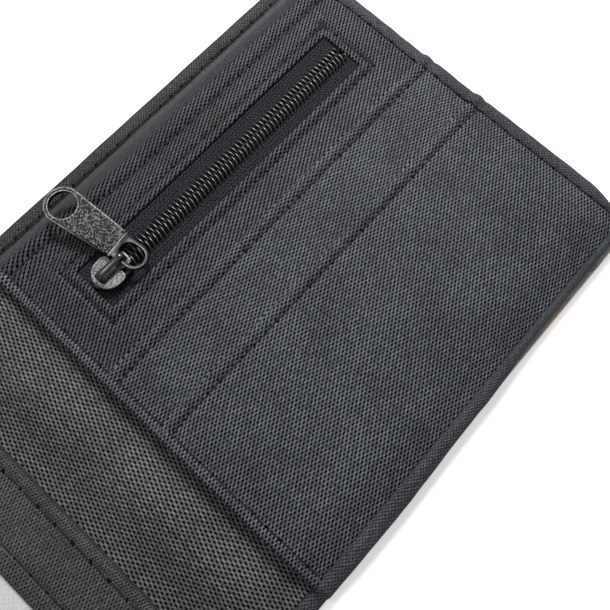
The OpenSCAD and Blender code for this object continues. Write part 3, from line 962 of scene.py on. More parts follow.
def outline_point(s, inset):
    """A point at distance s along a half's bottom and up its outer side, with its direction"""
    r = CORNER_R - inset
    bottom = HALF_W - CORNER_R
    arc = r * math.pi / 2
    if s <= bottom:
        return s, BOTTOM_Y + inset, 0.0
    if s <= bottom + arc:
        turn = (s - bottom) / r
        return bottom + r * math.sin(turn), BOTTOM_Y + CORNER_R - r * math.cos(turn), turn
    return HALF_W - inset, BOTTOM_Y + CORNER_R + (s - bottom - arc), math.pi / 2


def outline_length(inset, y_end):
    """How far that outline runs, from the spine's middle to y_end on the outer side"""
    return HALF_W - CORNER_R + (CORNER_R - inset) * math.pi / 2 + y_end - BOTTOM_Y - CORNER_R


# ---------------------------------------------------------------- stitching

def add_stitch(bm, centre, heading, slope, length, thread):
    """One topstitch: a short thread that rises from the cloth and goes back in"""
    made = bmesh.ops.create_uvsphere(bm, u_segments=8, v_segments=6, radius=0.5)["verts"]
    place = (Matrix.Translation(centre) @ Matrix.Rotation(heading, 4, "Z") @ Matrix.Rotation(-slope, 4, "Y")
             @ Matrix.Diagonal((length, thread, thread * 0.8, 1)) @ Matrix.Rotation(math.pi / 2, 4, "Y"))
    bmesh.ops.transform(bm, matrix=place, verts=made)


def add_painted_hole_shade(bm, centre, heading, width):
    """A flat dark spot of painted shade over the pulled-in hole between two stitches, which takes the
    second material
    """
    made = bmesh.ops.create_uvsphere(bm, u_segments=7, v_segments=4, radius=0.5)["verts"]
    place = (Matrix.Translation(centre) @ Matrix.Rotation(heading + 0.5, 4, "Z")
             @ Matrix.Diagonal((width * 1.5, width, 0.3, 1)))
    bmesh.ops.transform(bm, matrix=place, verts=made)
    for v in made:
        for face in v.link_faces:
            face.material_index = 1


def add_seam(bm, path, length, top, rng, pitch=None, sink=0.0, hole=0.6):
    """A row of topstitches along path(s) for s from 0 to length, on the surface top(x, y)"""
    thread = sizes().thread / MM
    pitch = pitch or sizes().stitch_pitch / MM
    count = max(1, int(length / pitch))
    pitch = length / count
    row = bmesh.new()
    for k in range(count):
        s = (k + 0.5) * pitch
        x, y, heading = path(s)
        reach = pitch * 0.36
        ahead = top(x + reach * math.cos(heading), y + reach * math.sin(heading))
        behind = top(x - reach * math.cos(heading), y - reach * math.sin(heading))
        slope = math.atan2(ahead - behind, 2 * reach)
        stray_x, stray_y = rng.uniform(-0.06, 0.06), rng.uniform(-0.06, 0.06)
        centre = Vector((x + stray_x, y + stray_y, (ahead + behind) / 2 + sink))
        add_stitch(row, centre, heading + rng.uniform(-0.09, 0.09), slope,
                   pitch * rng.uniform(0.78, 0.9), thread)
        x, y, heading = path(s - pitch / 2)
        # Each stitch's end gets a flat dark spot of painted shade for its hole
        add_painted_hole_shade(row, Vector((x, y, top(x, y) + 0.02)), heading + rng.uniform(-0.3, 0.3),
                        hole * rng.uniform(0.8, 1.2))
    gathered = bpy.data.meshes.new("row")
    row.to_mesh(gathered)
    row.free()
    bm.from_mesh(gathered)
    bpy.data.meshes.remove(gathered)


def straight(x0, y0, x1, y1):
    """A straight path from one point to another, with its length"""
    length = math.hypot(x1 - x0, y1 - y0)
    heading = math.atan2(y1 - y0, x1 - x0)

    def path(s):
        return x0 + (x1 - x0) * s / length, y0 + (y1 - y0) * s / length, heading

    return path, length


def rectangle_seams(bm, window, gap, top, rng, pitch=None, hole=0.6):
    """Four rows of stitches round a window"""
    x0, x1, y0, y1 = window[0] - gap, window[1] + gap, window[2] - gap, window[3] + gap
    corners = [(x0, y0), (x1, y0), (x1, y1), (x0, y1)]
    for a, b in zip(corners, corners[1:] + corners[:1]):
        path, length = straight(*a, *b)
        add_seam(bm, path, length, top, rng, pitch, hole=hole)


def thread_piece(name, bm, side, body=None):
    """Stitches as one piece, which rides on a body, or else has its placement baked in"""
    piece = make_piece(name, bm, "thread", side, normals=True)
    # The second material is the painted shade of the holes
    piece.data.materials.append(material("hole"))
    if body:
        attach(piece, body)
    else:
        bend_at_fold(piece, side)
    return piece


# ---------------------------------------------------------------- the pieces

class WalletOperator:
    """What every piece's operator shares"""

    bl_options = {"REGISTER", "UNDO"}

    def execute(self, context):
        self.build(context)
        return {"FINISHED"}


class WALLET_OT_shell(WalletOperator, bpy.types.Operator):
    """Makes the printed outer shell, its turned edge, its lining and the hem along the bill opening"""

    bl_idname = "wallet.shell"
    bl_label = "Outer shell"

    def build(self, context):
        for side in (1, -1):
            name = half_name(side)
            shell = self.shell_sheet(side)
            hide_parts(name + "_outer_shell", *(["spine_shell"] if side > 0 else []))
            bend_at_fold(shell, side)
            lining = sheet_piece(
                name + "_bill_lining", "lining", self.lining_top,
                0, HALF_W - EDGE_HIDE, BOTTOM_Y + EDGE_HIDE, HEM_Y + 0.4,
                side, 2.0, 0.3, cuts_x=[k * 0.8 for k in range(1, 14)])
            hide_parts(name + "_shell_lining", *(["spine_lining"] if side > 0 else []))
            bend_at_fold(lining, side)
            hem = self.hem(side)
            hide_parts(name + "_top_hem", *(["spine_top_hem"] if side > 0 else []))
            bend_at_fold(hem, side)

    @staticmethod
    def shell_top(x, y):
        """The shell lies flat, turns up a little at its edges and lifts towards the bill opening"""
        d = min(edge_distance(x, y), TOP_Y - y)
        lift = SHELL_LIFT * smooth((y - BOARD_TOP_Y) / SHELL_LIFT_RUN)
        return SHELL_T + 0.28 * (1 - smooth(d / 2.2)) - roll(d, 0.3) + lift

    @staticmethod
    def lining_top(x, y):
        """The lining ripples faintly, thins towards the sewn edges and dips at the hem"""
        z = LINING_TOP + 0.1 * ripple(x, y, 12.0, 9.0, 1.7)
        d = edge_distance(x, y)
        z = SHELL_T + (z - SHELL_T) * (0.35 + 0.65 * smooth(d / 9.0)) - groove(y - HEM_Y, 0.6, 0.25)
        return z + back_lift(y)

    def shell_sheet(self, side):
        bm = bmesh.new()
        add_grid(bm, 0, HALF_W, BOTTOM_Y, TOP_Y, 1.5)
        over_spine = [k * 0.75 for k in range(1, 15)]
        over_lift = [TOP_Y - 0.9 - 0.35 * k for k in range(1, 8)]
        cut(bm, 0, edge_rows(HALF_W, -1) + over_spine)
        cut(bm, 1, edge_rows(BOTTOM_Y, 1) + edge_rows(TOP_Y, -1) + over_lift)
        round_corner(bm, HALF_W, BOTTOM_Y, CORNER_R, -1)
        round_corner(bm, HALF_W, TOP_Y, TOP_CORNER_R, 1)
        lay_cloth_map(bm, side=side)
        for v in bm.verts:
            v.co.z = self.shell_top(v.co.x, v.co.y)
        piece = make_piece(half_name(side) + "_printed_shell", bm, "print", side)
        return thicken(piece, SHELL_T - 0.02)

    @staticmethod
    def hem_top(x, y):
        """The hem is a flat fold, highest in its middle, pulled down along its stitches"""
        middle = (HEM_Y + TOP_Y) / 2
        z = LINING_TOP + 0.28 - 0.16 * ((y - middle) / (TOP_Y - middle)) ** 2
        z -= groove(y - HEM_SEAM_Y, 0.4, 0.3)
        z -= roll(TOP_Y - y, 0.75) * 0.9 + roll(y - HEM_Y + 0.25, 0.3)
        z -= roll(HALF_W - x, 0.7)
        return z + back_lift(y) + 0.12 * ripple(x, y, 6.0, 3.0, 5.5)

    def hem(self, side):
        bm = bmesh.new()
        add_grid(bm, 0, HALF_W, HEM_Y - 0.2, TOP_Y, 0.6)
        cut(bm, 1, edge_rows(TOP_Y, -1))
        cut(bm, 0, edge_rows(HALF_W, -1))
        round_corner(bm, HALF_W, TOP_Y, TOP_CORNER_R, 1)
        lay_cloth_map(bm, side=side)
        for v in bm.verts:
            v.co.z = self.hem_top(v.co.x, v.co.y)
            v.co.y += 0.5 * smooth((v.co.y - HEM_Y - 0.6) / 1.6)
        return thicken(make_piece(half_name(side) + "_hem", bm, "hem", side), 0.7)


class WALLET_OT_seams(WalletOperator, bpy.types.Operator):
    """Makes the turned edges that are sewn together along the outer sides and the bottom"""

    bl_idname = "wallet.seams"
    bl_label = "Sewn edges"

    def build(self, context):
        for side in (1, -1):
            name = half_name(side)
            # The printed turned edge is painted paler, partly as light
            printed = self.sweep(side, name + "_shell_turning", "pale print and painted light", self.printed_section)
            woven = self.sweep(side, name + "_panel_turning", "binding", self.woven_section)
            nodes = [name + "_side_seam", name + "_bottom_seam"]
            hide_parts(*nodes, *(["spine_bottom_seam"] if side > 0 else []))
            fray = self.frayed_ends(side)
            for piece in (printed, woven, fray):
                bend_at_fold(piece, side)

    @staticmethod
    def printed_section(x, y, height):
        """The shell's own turned edge: a low half round, outermost"""
        radius_in, radius_up, middle = 0.5, 0.62, 0.68
        round_side = [(radius_in - radius_in * math.sin(a), middle + radius_up * math.cos(a))
                      for a in (math.pi * k / 7 for k in range(8))]
        return [(1.7, 0.75), (1.0, 1.2), *round_side, (1.2, 0.08)]

    @staticmethod
    def woven_section(x, y, height):
        """The panel's turned edge: it comes up beside the stitches, crowns and rolls over the side"""
        show = margin_end(x, y) + 0.12 * ripple(x, y, 4.0, 4.0, 5.0)
        top = height + 0.07 * ripple(x, y, 3.0, 3.0, 2.0)
        low, inner = 1.25, 3.35
        body = [(1.0, -0.6), (0.93, -0.32), (0.84, -0.1), (0.7, 0.06), (0.54, 0.12), (0.38, 0.04),
                (0.23, -0.16), (0.1, -0.46), (0.02, -0.9)]
        side_z = top - 0.9
        walls = [(show + 0.02, low + (side_z - low) * f) for f in (0.66, 0.33)]
        return [(show + (inner - show) * f, top + dz) for f, dz in body] + walls + [
            (show + 0.1, low), (show + 0.5, low - 0.25), (show + 1.2, low - 0.3)]

    @staticmethod
    def stack_height(side, x, y):
        """Height of the sewn stack just inside its stitches"""
        if x < PANEL_X + 0.3:
            return WALLET_OT_spine.spine_top(x, y) + 0.15
        if side > 0:
            return WALLET_OT_stitching.top_of_stack(x, y)
        return frame_top(x, y)

    def sweep(self, side, name, material_name, section):
        """Sweeps a section along the bottom and round up the outer side"""
        step, yarn = 0.8, 0.42
        length = outline_length(0, PANEL_TOP - 0.4)
        along = int(length / step)
        around = len(section(0, 0, 4)) - 1
        bm = bmesh.new()
        shares = add_mapped_grid(bm, along, around,
                                 lambda u, w: (side * u * length, round(w * around) * yarn))
        columns = {}
        for v, (u, w) in shares.items():
            column = round(u * along)
            if column not in columns:
                x, y, heading = outline_point(u * length, 0)
                inward = (-math.sin(heading), math.cos(heading))
                reach = EDGE_STITCH + 0.9
                height = self.stack_height(side, x + reach * inward[0], y + reach * inward[1])
                columns[column] = (x, y, inward, section(x, y, height))
            x, y, inward, points = columns[column]
            d, z = points[round(w * around)]
            v.co = Vector((x + d * inward[0], y + d * inward[1], max(z, 0.05)))
        bmesh.ops.smooth_vert(bm, verts=[v for v in bm.verts if not v.is_boundary], factor=0.3,
                              use_axis_x=True, use_axis_y=True, use_axis_z=True)
        return make_piece(name, bm, material_name, side, normals=True)

    @staticmethod
    def frayed_ends(side):
        """A few loose filaments that stand out of the bottom edge"""
        rng = random.Random(7 if side > 0 else 8)
        bm = bmesh.new()
        for _ in range(26):
            x = rng.uniform(30, 100)
            y, z = BOTTOM_Y + 0.35, rng.uniform(1.0, 1.6)
            turn, reach = rng.uniform(-1.1, 1.1), rng.uniform(0.5, 1.15)
            made = bmesh.ops.create_cone(bm, cap_ends=True, segments=5, radius1=0.05, radius2=0.02,
                                         depth=reach)["verts"]
            tilt = math.pi / 2 + rng.uniform(-0.3, 0.3)
            lay = (Matrix.Translation((x, y, z)) @ Matrix.Rotation(turn, 4, "Z")
                   @ Matrix.Rotation(tilt, 4, "X"))
            bmesh.ops.transform(bm, matrix=lay, verts=made)
        return make_piece(half_name(side) + "_frayed_ends", bm, "thread", side, normals=True)


class WALLET_OT_spine(WalletOperator, bpy.types.Operator):
    """Makes the woven panel under the pockets, which runs across the spine"""

    bl_idname = "wallet.spine"
    bl_label = "Base panels and spine"

    def build(self, context):
        for side in (1, -1):
            name = half_name(side)
            cloth = sheet_piece(
                name + "_base_cloth", "spine", self.spine_top,
                0, HALF_W - 1.4, BOTTOM_Y + 1.1, PANEL_TOP, side, 1.6, 0.42,
                grain=(3.0, 1.07, 1.1), drawn=True, cuts_x=[k * 0.6 for k in range(1, 24)],
                cuts_y=edge_rows(PANEL_TOP, -1) + stitch_rows(PANEL_TOP - TOP_SEAM)
                + stitch_rows(BOTTOM_Y + EDGE_STITCH))
            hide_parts(name + "_base_panel", *(["spine_base"] if side > 0 else []))
            bend_at_fold(cloth, side)

    @staticmethod
    def spine_top(x, y):
        """The spine's cloth rises to a soft ridge along its middle and sinks beside the panels"""
        z = settle(max(x, TURN_X), y, BASE_TOP) if x > PANEL_X else BASE_TOP
        if x <= PANEL_X:
            d = y - BOTTOM_Y
            z = SHELL_T + (BASE_TOP - SHELL_T) * (1 - sizes().crown * (1 - smooth(d / 12.0)) ** 1.5)
            z -= 0.4 * past_stitches(d)
        beside = smooth((x - 0.5) / 8.0) * (1 - smooth((x - PANEL_X) / 2.0))
        z -= 1.3 * beside * smooth((y - BOTTOM_Y) / 7.0)
        z += 0.6 * smooth((y - 38) / 4.0) * smooth(x / 6.0)
        z += 0.12 * (1 - smooth(x / 6.0)) * smooth((y - BOTTOM_Y) / 7.0)
        z += 0.1 * ripple(x, y, 5.0, 22.0, 6.3) * smooth((PANEL_X + 2 - x) / 3.0)
        z -= roll(PANEL_TOP - y, 0.5)
        if x < PANEL_X:
            z -= groove(PANEL_TOP - TOP_SEAM - y, 0.5, 0.2)
        return z


class WALLET_OT_coin_pocket(WalletOperator, bpy.types.Operator):
    """Makes the coin pocket's front with its folded zip window"""

    bl_idname = "wallet.coin_pocket"
    bl_label = "Coin pocket"

    def build(self, context):
        front = sheet_piece(
            "coin_pocket_cloth", "front", front_top,
            SHEET_X, HALF_W - EDGE_HIDE, BOTTOM_Y + EDGE_HIDE, PANEL_TOP, 1, SHEET_STEP, SHEET_T,
            window=WINDOW, grain=(0.0, 0.97, 1.09), drawn=True, corners=((-1, CORNER_R - EDGE_HIDE),),
            cuts_x=stitch_rows(HALF_W - EDGE_STITCH)
            + stitch_rows(WINDOW[0] - WINDOW_SEAM) + stitch_rows(WINDOW[1] + WINDOW_SEAM),
            cuts_y=edge_rows(PANEL_TOP, -1) + [PANEL_TOP - 1.6 - 0.3 * k for k in range(11)]
            + stitch_rows(WINDOW[2] - WINDOW_SEAM) + stitch_rows(WINDOW[3] + WINDOW_SEAM))
        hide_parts("coin_pocket_front", "coin_pocket_top_seam")
        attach(front, "right_half")
        x0, x1 = node_low("coin_pocket_back")[0], node_high("coin_pocket_back")[0]
        y0, y1 = node_low("coin_pocket_back")[1], node_high("coin_pocket_back")[1]
        inset = 0.2
        back = sheet_piece(
            "coin_pocket_lining", "backing", self.lining_top,
            x0, x1 - inset, y0 + inset, y1, 1, 2.2, PANEL_T / 2, corners=((-1, CORNER_R - 2.5),))
        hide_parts("coin_pocket_back")
        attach(back, "right_half")

    @staticmethod
    def lining_top(x, y):
        return settle(x, y, node_high("coin_pocket_back")[2])


class WALLET_OT_card_pockets(WalletOperator, bpy.types.Operator):
    """Makes the two card pocket sheets, whose folded top edges are the slots"""

    bl_idname = "wallet.card_pockets"
    bl_label = "Card pockets"

    def build(self, context):
        for which, height, slot_y, turn in (("upper", UPPER_TOP, UPPER_SLOT_Y, 1.5),
                                            ("lower", LOWER_TOP, LOWER_SLOT_Y, 4.2)):
            out = 0.1 if which == "upper" else 0.2
            sheet = sheet_piece(
                f"card_sheet_{which}", "panel", pocket_top(height, slot_y),
                SHEET_X, HALF_W - EDGE_HIDE + out, BOTTOM_Y + EDGE_HIDE - out, slot_y,
                1, SHEET_STEP, SHEET_T, grain=(turn, 0.99, 1.0), corners=((-1, CORNER_R - EDGE_HIDE),),
                cuts_x=stitch_rows(HALF_W - EDGE_STITCH),
                cuts_y=edge_rows(slot_y, -1) + stitch_rows(slot_y - HEM_STITCH)
                + stitch_rows(BOTTOM_Y + EDGE_STITCH))
            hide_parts(f"card_pocket_{which}")
            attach(sheet, "right_half")


class WALLET_OT_turned_edges(WalletOperator, bpy.types.Operator):
    """Makes the turned edge along the fold side of each inner panel"""

    bl_idname = "wallet.turned_edges"
    bl_label = "Turned edges"

    def build(self, context):
        for side in (1, -1):
            piece = self.turned_edge(side)
            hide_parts(half_name(side) + "_turned_edge")
            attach(piece, half_body(side))

    @staticmethod
    def stack_top(side, y):
        """Height of the pockets beside the turned edge, which steps down at each slot"""
        if side < 0:
            return settle(TURN_X, y, FRAME_TOP)
        height = FRONT_TOP
        height += (UPPER_TOP - FRONT_TOP) * smooth((UPPER_SLOT_Y + 1.0 - y) / 2.0)
        height += (LOWER_TOP - UPPER_TOP) * smooth((LOWER_SLOT_Y + 1.0 - y) / 2.0)
        return settle(TURN_X, y, height)

    def turned_edge(self, side):
        """A band that comes up from the base, rolls over and dips at its stitches"""
        y0, y1, x0 = BOTTOM_Y + 0.3, PANEL_TOP, PANEL_X + 0.05
        around, along = 18, int((y1 - y0) / 0.7)
        band_w, wall_end, roll_end = 5.0, 0.4, 0.62
        bm = bmesh.new()
        shares = add_mapped_grid(bm, around, along, lambda u, w: (u * band_w, y0 + w * (y1 - y0)))
        for v, (u, w) in shares.items():
            y = y0 + w * (y1 - y0)
            top = self.stack_top(side, y) + 0.22
            low = max(settle(TURN_X, y, BASE_TOP) - 0.6, 0.9)
            rise = max(top - low, 0.6)
            wave = 0.09 * ripple(0.3, y, 1.0, 4.0, 2.0 + side)
            radius = min(0.75, rise / 2)
            if u < wall_end:
                x, z = x0, low + (rise - radius) * u / wall_end
            elif u < roll_end:
                turn = (u - wall_end) / (roll_end - wall_end) * math.pi / 2
                x = x0 + radius * (1 - math.cos(turn))
                z = top - radius + radius * math.sin(turn)
            else:
                t = (u - roll_end) / (1 - roll_end)
                x = x0 + radius + t * (TURN_X + 0.25 - PANEL_X - radius)
                z = top - 0.42 * smooth((t - 0.35) / 0.65)
            end = roll(y1 - y, 0.6) + roll(y - y0, 0.5)
            v.co = Vector((x + wave, y + drawn_up(x, y), max(z - end, low - 0.1)))
        finish = "panel" if side > 0 else "frame"
        return thicken(make_piece(half_name(side) + "_edge_band", bm, finish, side), 0.35)


class WALLET_OT_zip_chain(WalletOperator, bpy.types.Operator):
    """Makes the zip's two tapes and its two interlocked coil rows"""

    bl_idname = "wallet.zip_chain"
    bl_label = "Zip tapes and coil"

    def build(self, context):
        for up in (1, -1):
            which = "upper" if up > 0 else "lower"
            low, high = node_low("zip_tape_" + which), node_high("zip_tape_" + which)
            tape = sheet_piece("tape_" + which, "tape", self.tape_top, low[0], high[0], low[1], high[1],
                               1, SHEET_STEP, TAPE_T - 0.02, corners=())
            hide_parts("zip_tape_" + which)
            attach(tape, "right_half")
            coil = self.coil_row(up)
            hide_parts("zip_coil_" + which)
            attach(coil, "right_half")

    @staticmethod
    def tape_top(x, y):
        return TAPE_TOP - 0.03 + 0.02 * ripple(x, y, 6.0, 3.0, 4.0)

    @staticmethod
    def coil_row(up):
        """One row: a filament wound in flat loops whose heads reach over the middle line"""
        pitch = sizes().coil_pitch / MM
        wire = 0.22
        turns = int((COIL_X1 - COIL_X0 - 2 * wire - pitch / 2) / pitch)
        reach, steps = 0.45, 18
        middle_y = ZIP_Y - 0.18
        outer = COIL_W / 2 + 0.15
        width, height = (outer + reach) / 2 - wire, COIL_H / 2 - wire
        bm = bmesh.new()
        ring = bmesh.ops.create_circle(bm, cap_ends=False, radius=wire, segments=8)["verts"]
        bmesh.ops.rotate(bm, verts=ring, cent=(0, 0, 0), matrix=Matrix.Rotation(math.pi / 2, 3, "X"))
        bmesh.ops.translate(bm, verts=ring, vec=(0, 0, 1.0))
        edges = bm.edges[:]
        bmesh.ops.spin(bm, geom=edges, cent=(0, 0, 0), axis=(1, 0, 0), dvec=(pitch / steps, 0, 0),
                       angle=2 * math.pi, steps=steps, use_merge=False)
        for v in bm.verts:
            radius = math.hypot(v.co.y, v.co.z)
            turn = math.atan2(v.co.z, v.co.y)
            off = radius - 1.0
            v.co.x += COIL_X0 + wire + 0.1 + (pitch / 2 if up < 0 else 0) + 0.1 * math.sin(turn)
            squash_y = math.copysign(abs(math.cos(turn)) ** 0.7, math.cos(turn))
            squash_z = math.copysign(abs(math.sin(turn)) ** 0.8, math.sin(turn))
            v.co.y = middle_y + up * ((outer - reach) / 2 + (width + off) * squash_y)
            v.co.z = TAPE_TOP + COIL_H / 2 + (height + off) * squash_z
        loop = bm.verts[:] + bm.edges[:] + bm.faces[:]
        for k in range(1, turns):
            made = bmesh.ops.duplicate(bm, geom=loop)["geom"]
            bmesh.ops.translate(bm, verts=[g for g in made if isinstance(g, bmesh.types.BMVert)],
                                vec=(pitch * k, 0, 0))
        bmesh.ops.remove_doubles(bm, verts=bm.verts, dist=0.002)
        ends = [e for e in bm.edges if e.is_boundary]
        bmesh.ops.holes_fill(bm, edges=ends, sides=0)
        core = add_block(bm, (COIL_X1 - COIL_X0 - 1.2, width * 1.15, height * 0.7),
                         ((COIL_X0 + COIL_X1) / 2, middle_y + up * (outer - reach) / 2,
                          TAPE_TOP + COIL_H / 2 - 0.05))
        for face in {f for v in core for f in v.link_faces}:
            face.material_index = 1
        bmesh.ops.recalc_face_normals(bm, faces=bm.faces)
        coil = make_piece("coil_" + ("upper" if up > 0 else "lower"), bm, "coil", 1)
        coil.data.materials.append(material("cord"))
        return coil


class WALLET_OT_slider(WalletOperator, bpy.types.Operator):
    """Makes the enamelled zip slider with its arched bridge"""

    bl_idname = "wallet.slider"
    bl_label = "Zip slider"

    def build(self, context):
        low, high = node_low("zip_slider"), node_high("zip_slider")
        width = high[1] - low[1]
        bm = bmesh.new()
        plate_t, clearance = 0.65, 0.12
        arch_base = TAPE_TOP + COIL_H + clearance + plate_t
        self.plate(bm, low[0], high[0], width, arch_base - plate_t, plate_t, 0.1)
        self.plate(bm, low[0], high[0], width, low[2], plate_t, 0.0)
        for up in (1, -1):
            self.flange(bm, low[0], high[0], width, up, TAPE_TOP + 0.13, arch_base - plate_t + 0.1)
        self.wedge(bm, low[0] + 0.35, low[2] + 0.2, arch_base - 0.2)
        self.bridge(bm, low[0], high[0], arch_base, high[2])
        bmesh.ops.translate(bm, verts=bm.verts, vec=(0, ZIP_Y, 0))
        slider = make_piece("slider_body", bm, "enamel", 1, normals=True)
        # The upper plate's rims and cap take materials with painted highlights
        slider.data.materials.append(material("rim"))
        slider.data.materials.append(material("cast"))
        round_edges(slider, 0.12, 2, 50)
        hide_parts("zip_slider")
        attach(slider, "zip_slider")

    @staticmethod
    def outline(x0, x1, width):
        """Round nose towards the closed end, shoulders, and a narrower rear"""
        half = width / 2
        nose = [(x0 + half - half * math.cos(a), half * math.sin(a))
                for a in (math.radians(k * 7.5) for k in range(0, 13))]
        lobe = (x0 + half + 1.0, half - 1.25)
        nose += [(lobe[0] + 1.15 * math.sin(a), lobe[1] + 1.25 * math.cos(a))
                 for a in (math.radians(k * 15) for k in range(0, 10))]
        rear = [(x1 - 1.6, 1.75), (x1 - 0.5, 1.6), (x1, 1.1)]
        side = nose + rear
        return side + [(x, -y) for x, y in reversed(side) if y > 1e-6]

    def plate(self, bm, x0, x1, width, z, thickness, dome):
        """A plate with rounded rims, and a low dome when it is the upper one"""
        verts = [bm.verts.new((x, y, z)) for x, y in self.outline(x0, x1, width)]
        face = bm.faces.new(verts)
        made = bmesh.ops.extrude_face_region(bm, geom=[face])["geom"]
        lifted = [g for g in made if isinstance(g, bmesh.types.BMVert)]
        bmesh.ops.translate(bm, verts=lifted, vec=(0, 0, thickness - dome))
        cap = [g for g in made if isinstance(g, bmesh.types.BMFace)][0]
        if dome:
            for inset, rise in ((0.16, 0.07), (0.25, 0.03)):
                rim = bmesh.ops.inset_region(bm, faces=[cap], thickness=inset,
                                             use_even_offset=True)["faces"]
                bmesh.ops.translate(bm, verts=list(cap.verts), vec=(0, 0, rise))
                # Rim faces: painted highlights
                for face in rim:
                    face.material_index = 1
            # The cap: painted highlights in grey patches
            cap.material_index = 2

    @staticmethod
    def flange(bm, x0, x1, width, up, z0, z1):
        """A side wall that keeps the coil in the channel"""
        rim = 0.25
        inner, outer = COIL_W / 2 + 0.12, width / 2 - rim
        length = (x1 - x0) * 0.72
        add_block(bm, (length, outer - inner - rim, z1 - z0),
                  (x0 + 1.3 + length / 2, up * (inner + outer - rim) / 2, (z0 + z1) / 2))

    @staticmethod
    def wedge(bm, x0, z0, z1):
        """The narrow post at the nose that joins the two plates"""
        length, width = 1.5, 0.44
        add_block(bm, (length, width, z1 - z0), (x0 + length / 2, 0, (z0 + z1) / 2))

    @staticmethod
    def bridge(bm, x0, x1, z_foot, z_top):
        """The strap: it rises at the nose, runs level over the tunnel and comes down at the rear"""
        front, rear = x0 + 1.3, x1 - 0.75
        thickness, bend = 0.7, 0.8
        middle_z = z_top - thickness / 2
        points = [(front - 0.05, z_foot - 0.2), (front, z_foot + 0.3)]
        for k in range(0, 7):
            a = math.radians(k * 15)
            points.append((front + bend * (1 - math.cos(a)), middle_z - bend + bend * math.sin(a)))
        points.append(((front + rear) / 2, middle_z + 0.02))
        for k in range(0, 7):
            a = math.radians(k * 15)
            points.append((rear - bend + bend * math.sin(a), middle_z - bend + bend * math.cos(a)))
        points += [(rear, z_foot + 0.3), (rear + 0.05, z_foot - 0.2)]
        ring = bmesh.ops.create_circle(bm, cap_ends=False, radius=1.0, segments=16)["verts"]
        edges = list({e for v in ring for e in v.link_edges})
        last = None
        for k, (x, z) in enumerate(points):
            ahead = points[min(k + 1, len(points) - 1)]
            behind = points[max(k - 1, 0)]
            tilt = math.atan2(ahead[1] - behind[1], ahead[0] - behind[0])
            share = k / (len(points) - 1)
            half_w = 0.98 - 0.38 * smooth(share * 1.4)
            if last is not None:
                made = bmesh.ops.extrude_edge_only(bm, edges=edges)["geom"]
                ring = [g for g in made if isinstance(g, bmesh.types.BMVert)]
                edges = [g for g in made if isinstance(g, bmesh.types.BMEdge)
                         and g.verts[0] in ring and g.verts[1] in ring]
                bmesh.ops.transform(bm, matrix=last.inverted(), verts=ring)
            else:
                for v in ring:
                    squarer = [math.copysign(abs(c) ** 0.5, c) for c in v.co.xy]
                    v.co = Vector((*squarer, 0))
            last = (Matrix.Translation((x, 0, z)) @ Matrix.Rotation(math.pi / 2 - tilt, 4, "Y")
                    @ Matrix.Diagonal((thickness / 2, half_w, 1, 1)))
            bmesh.ops.transform(bm, matrix=last, verts=ring)


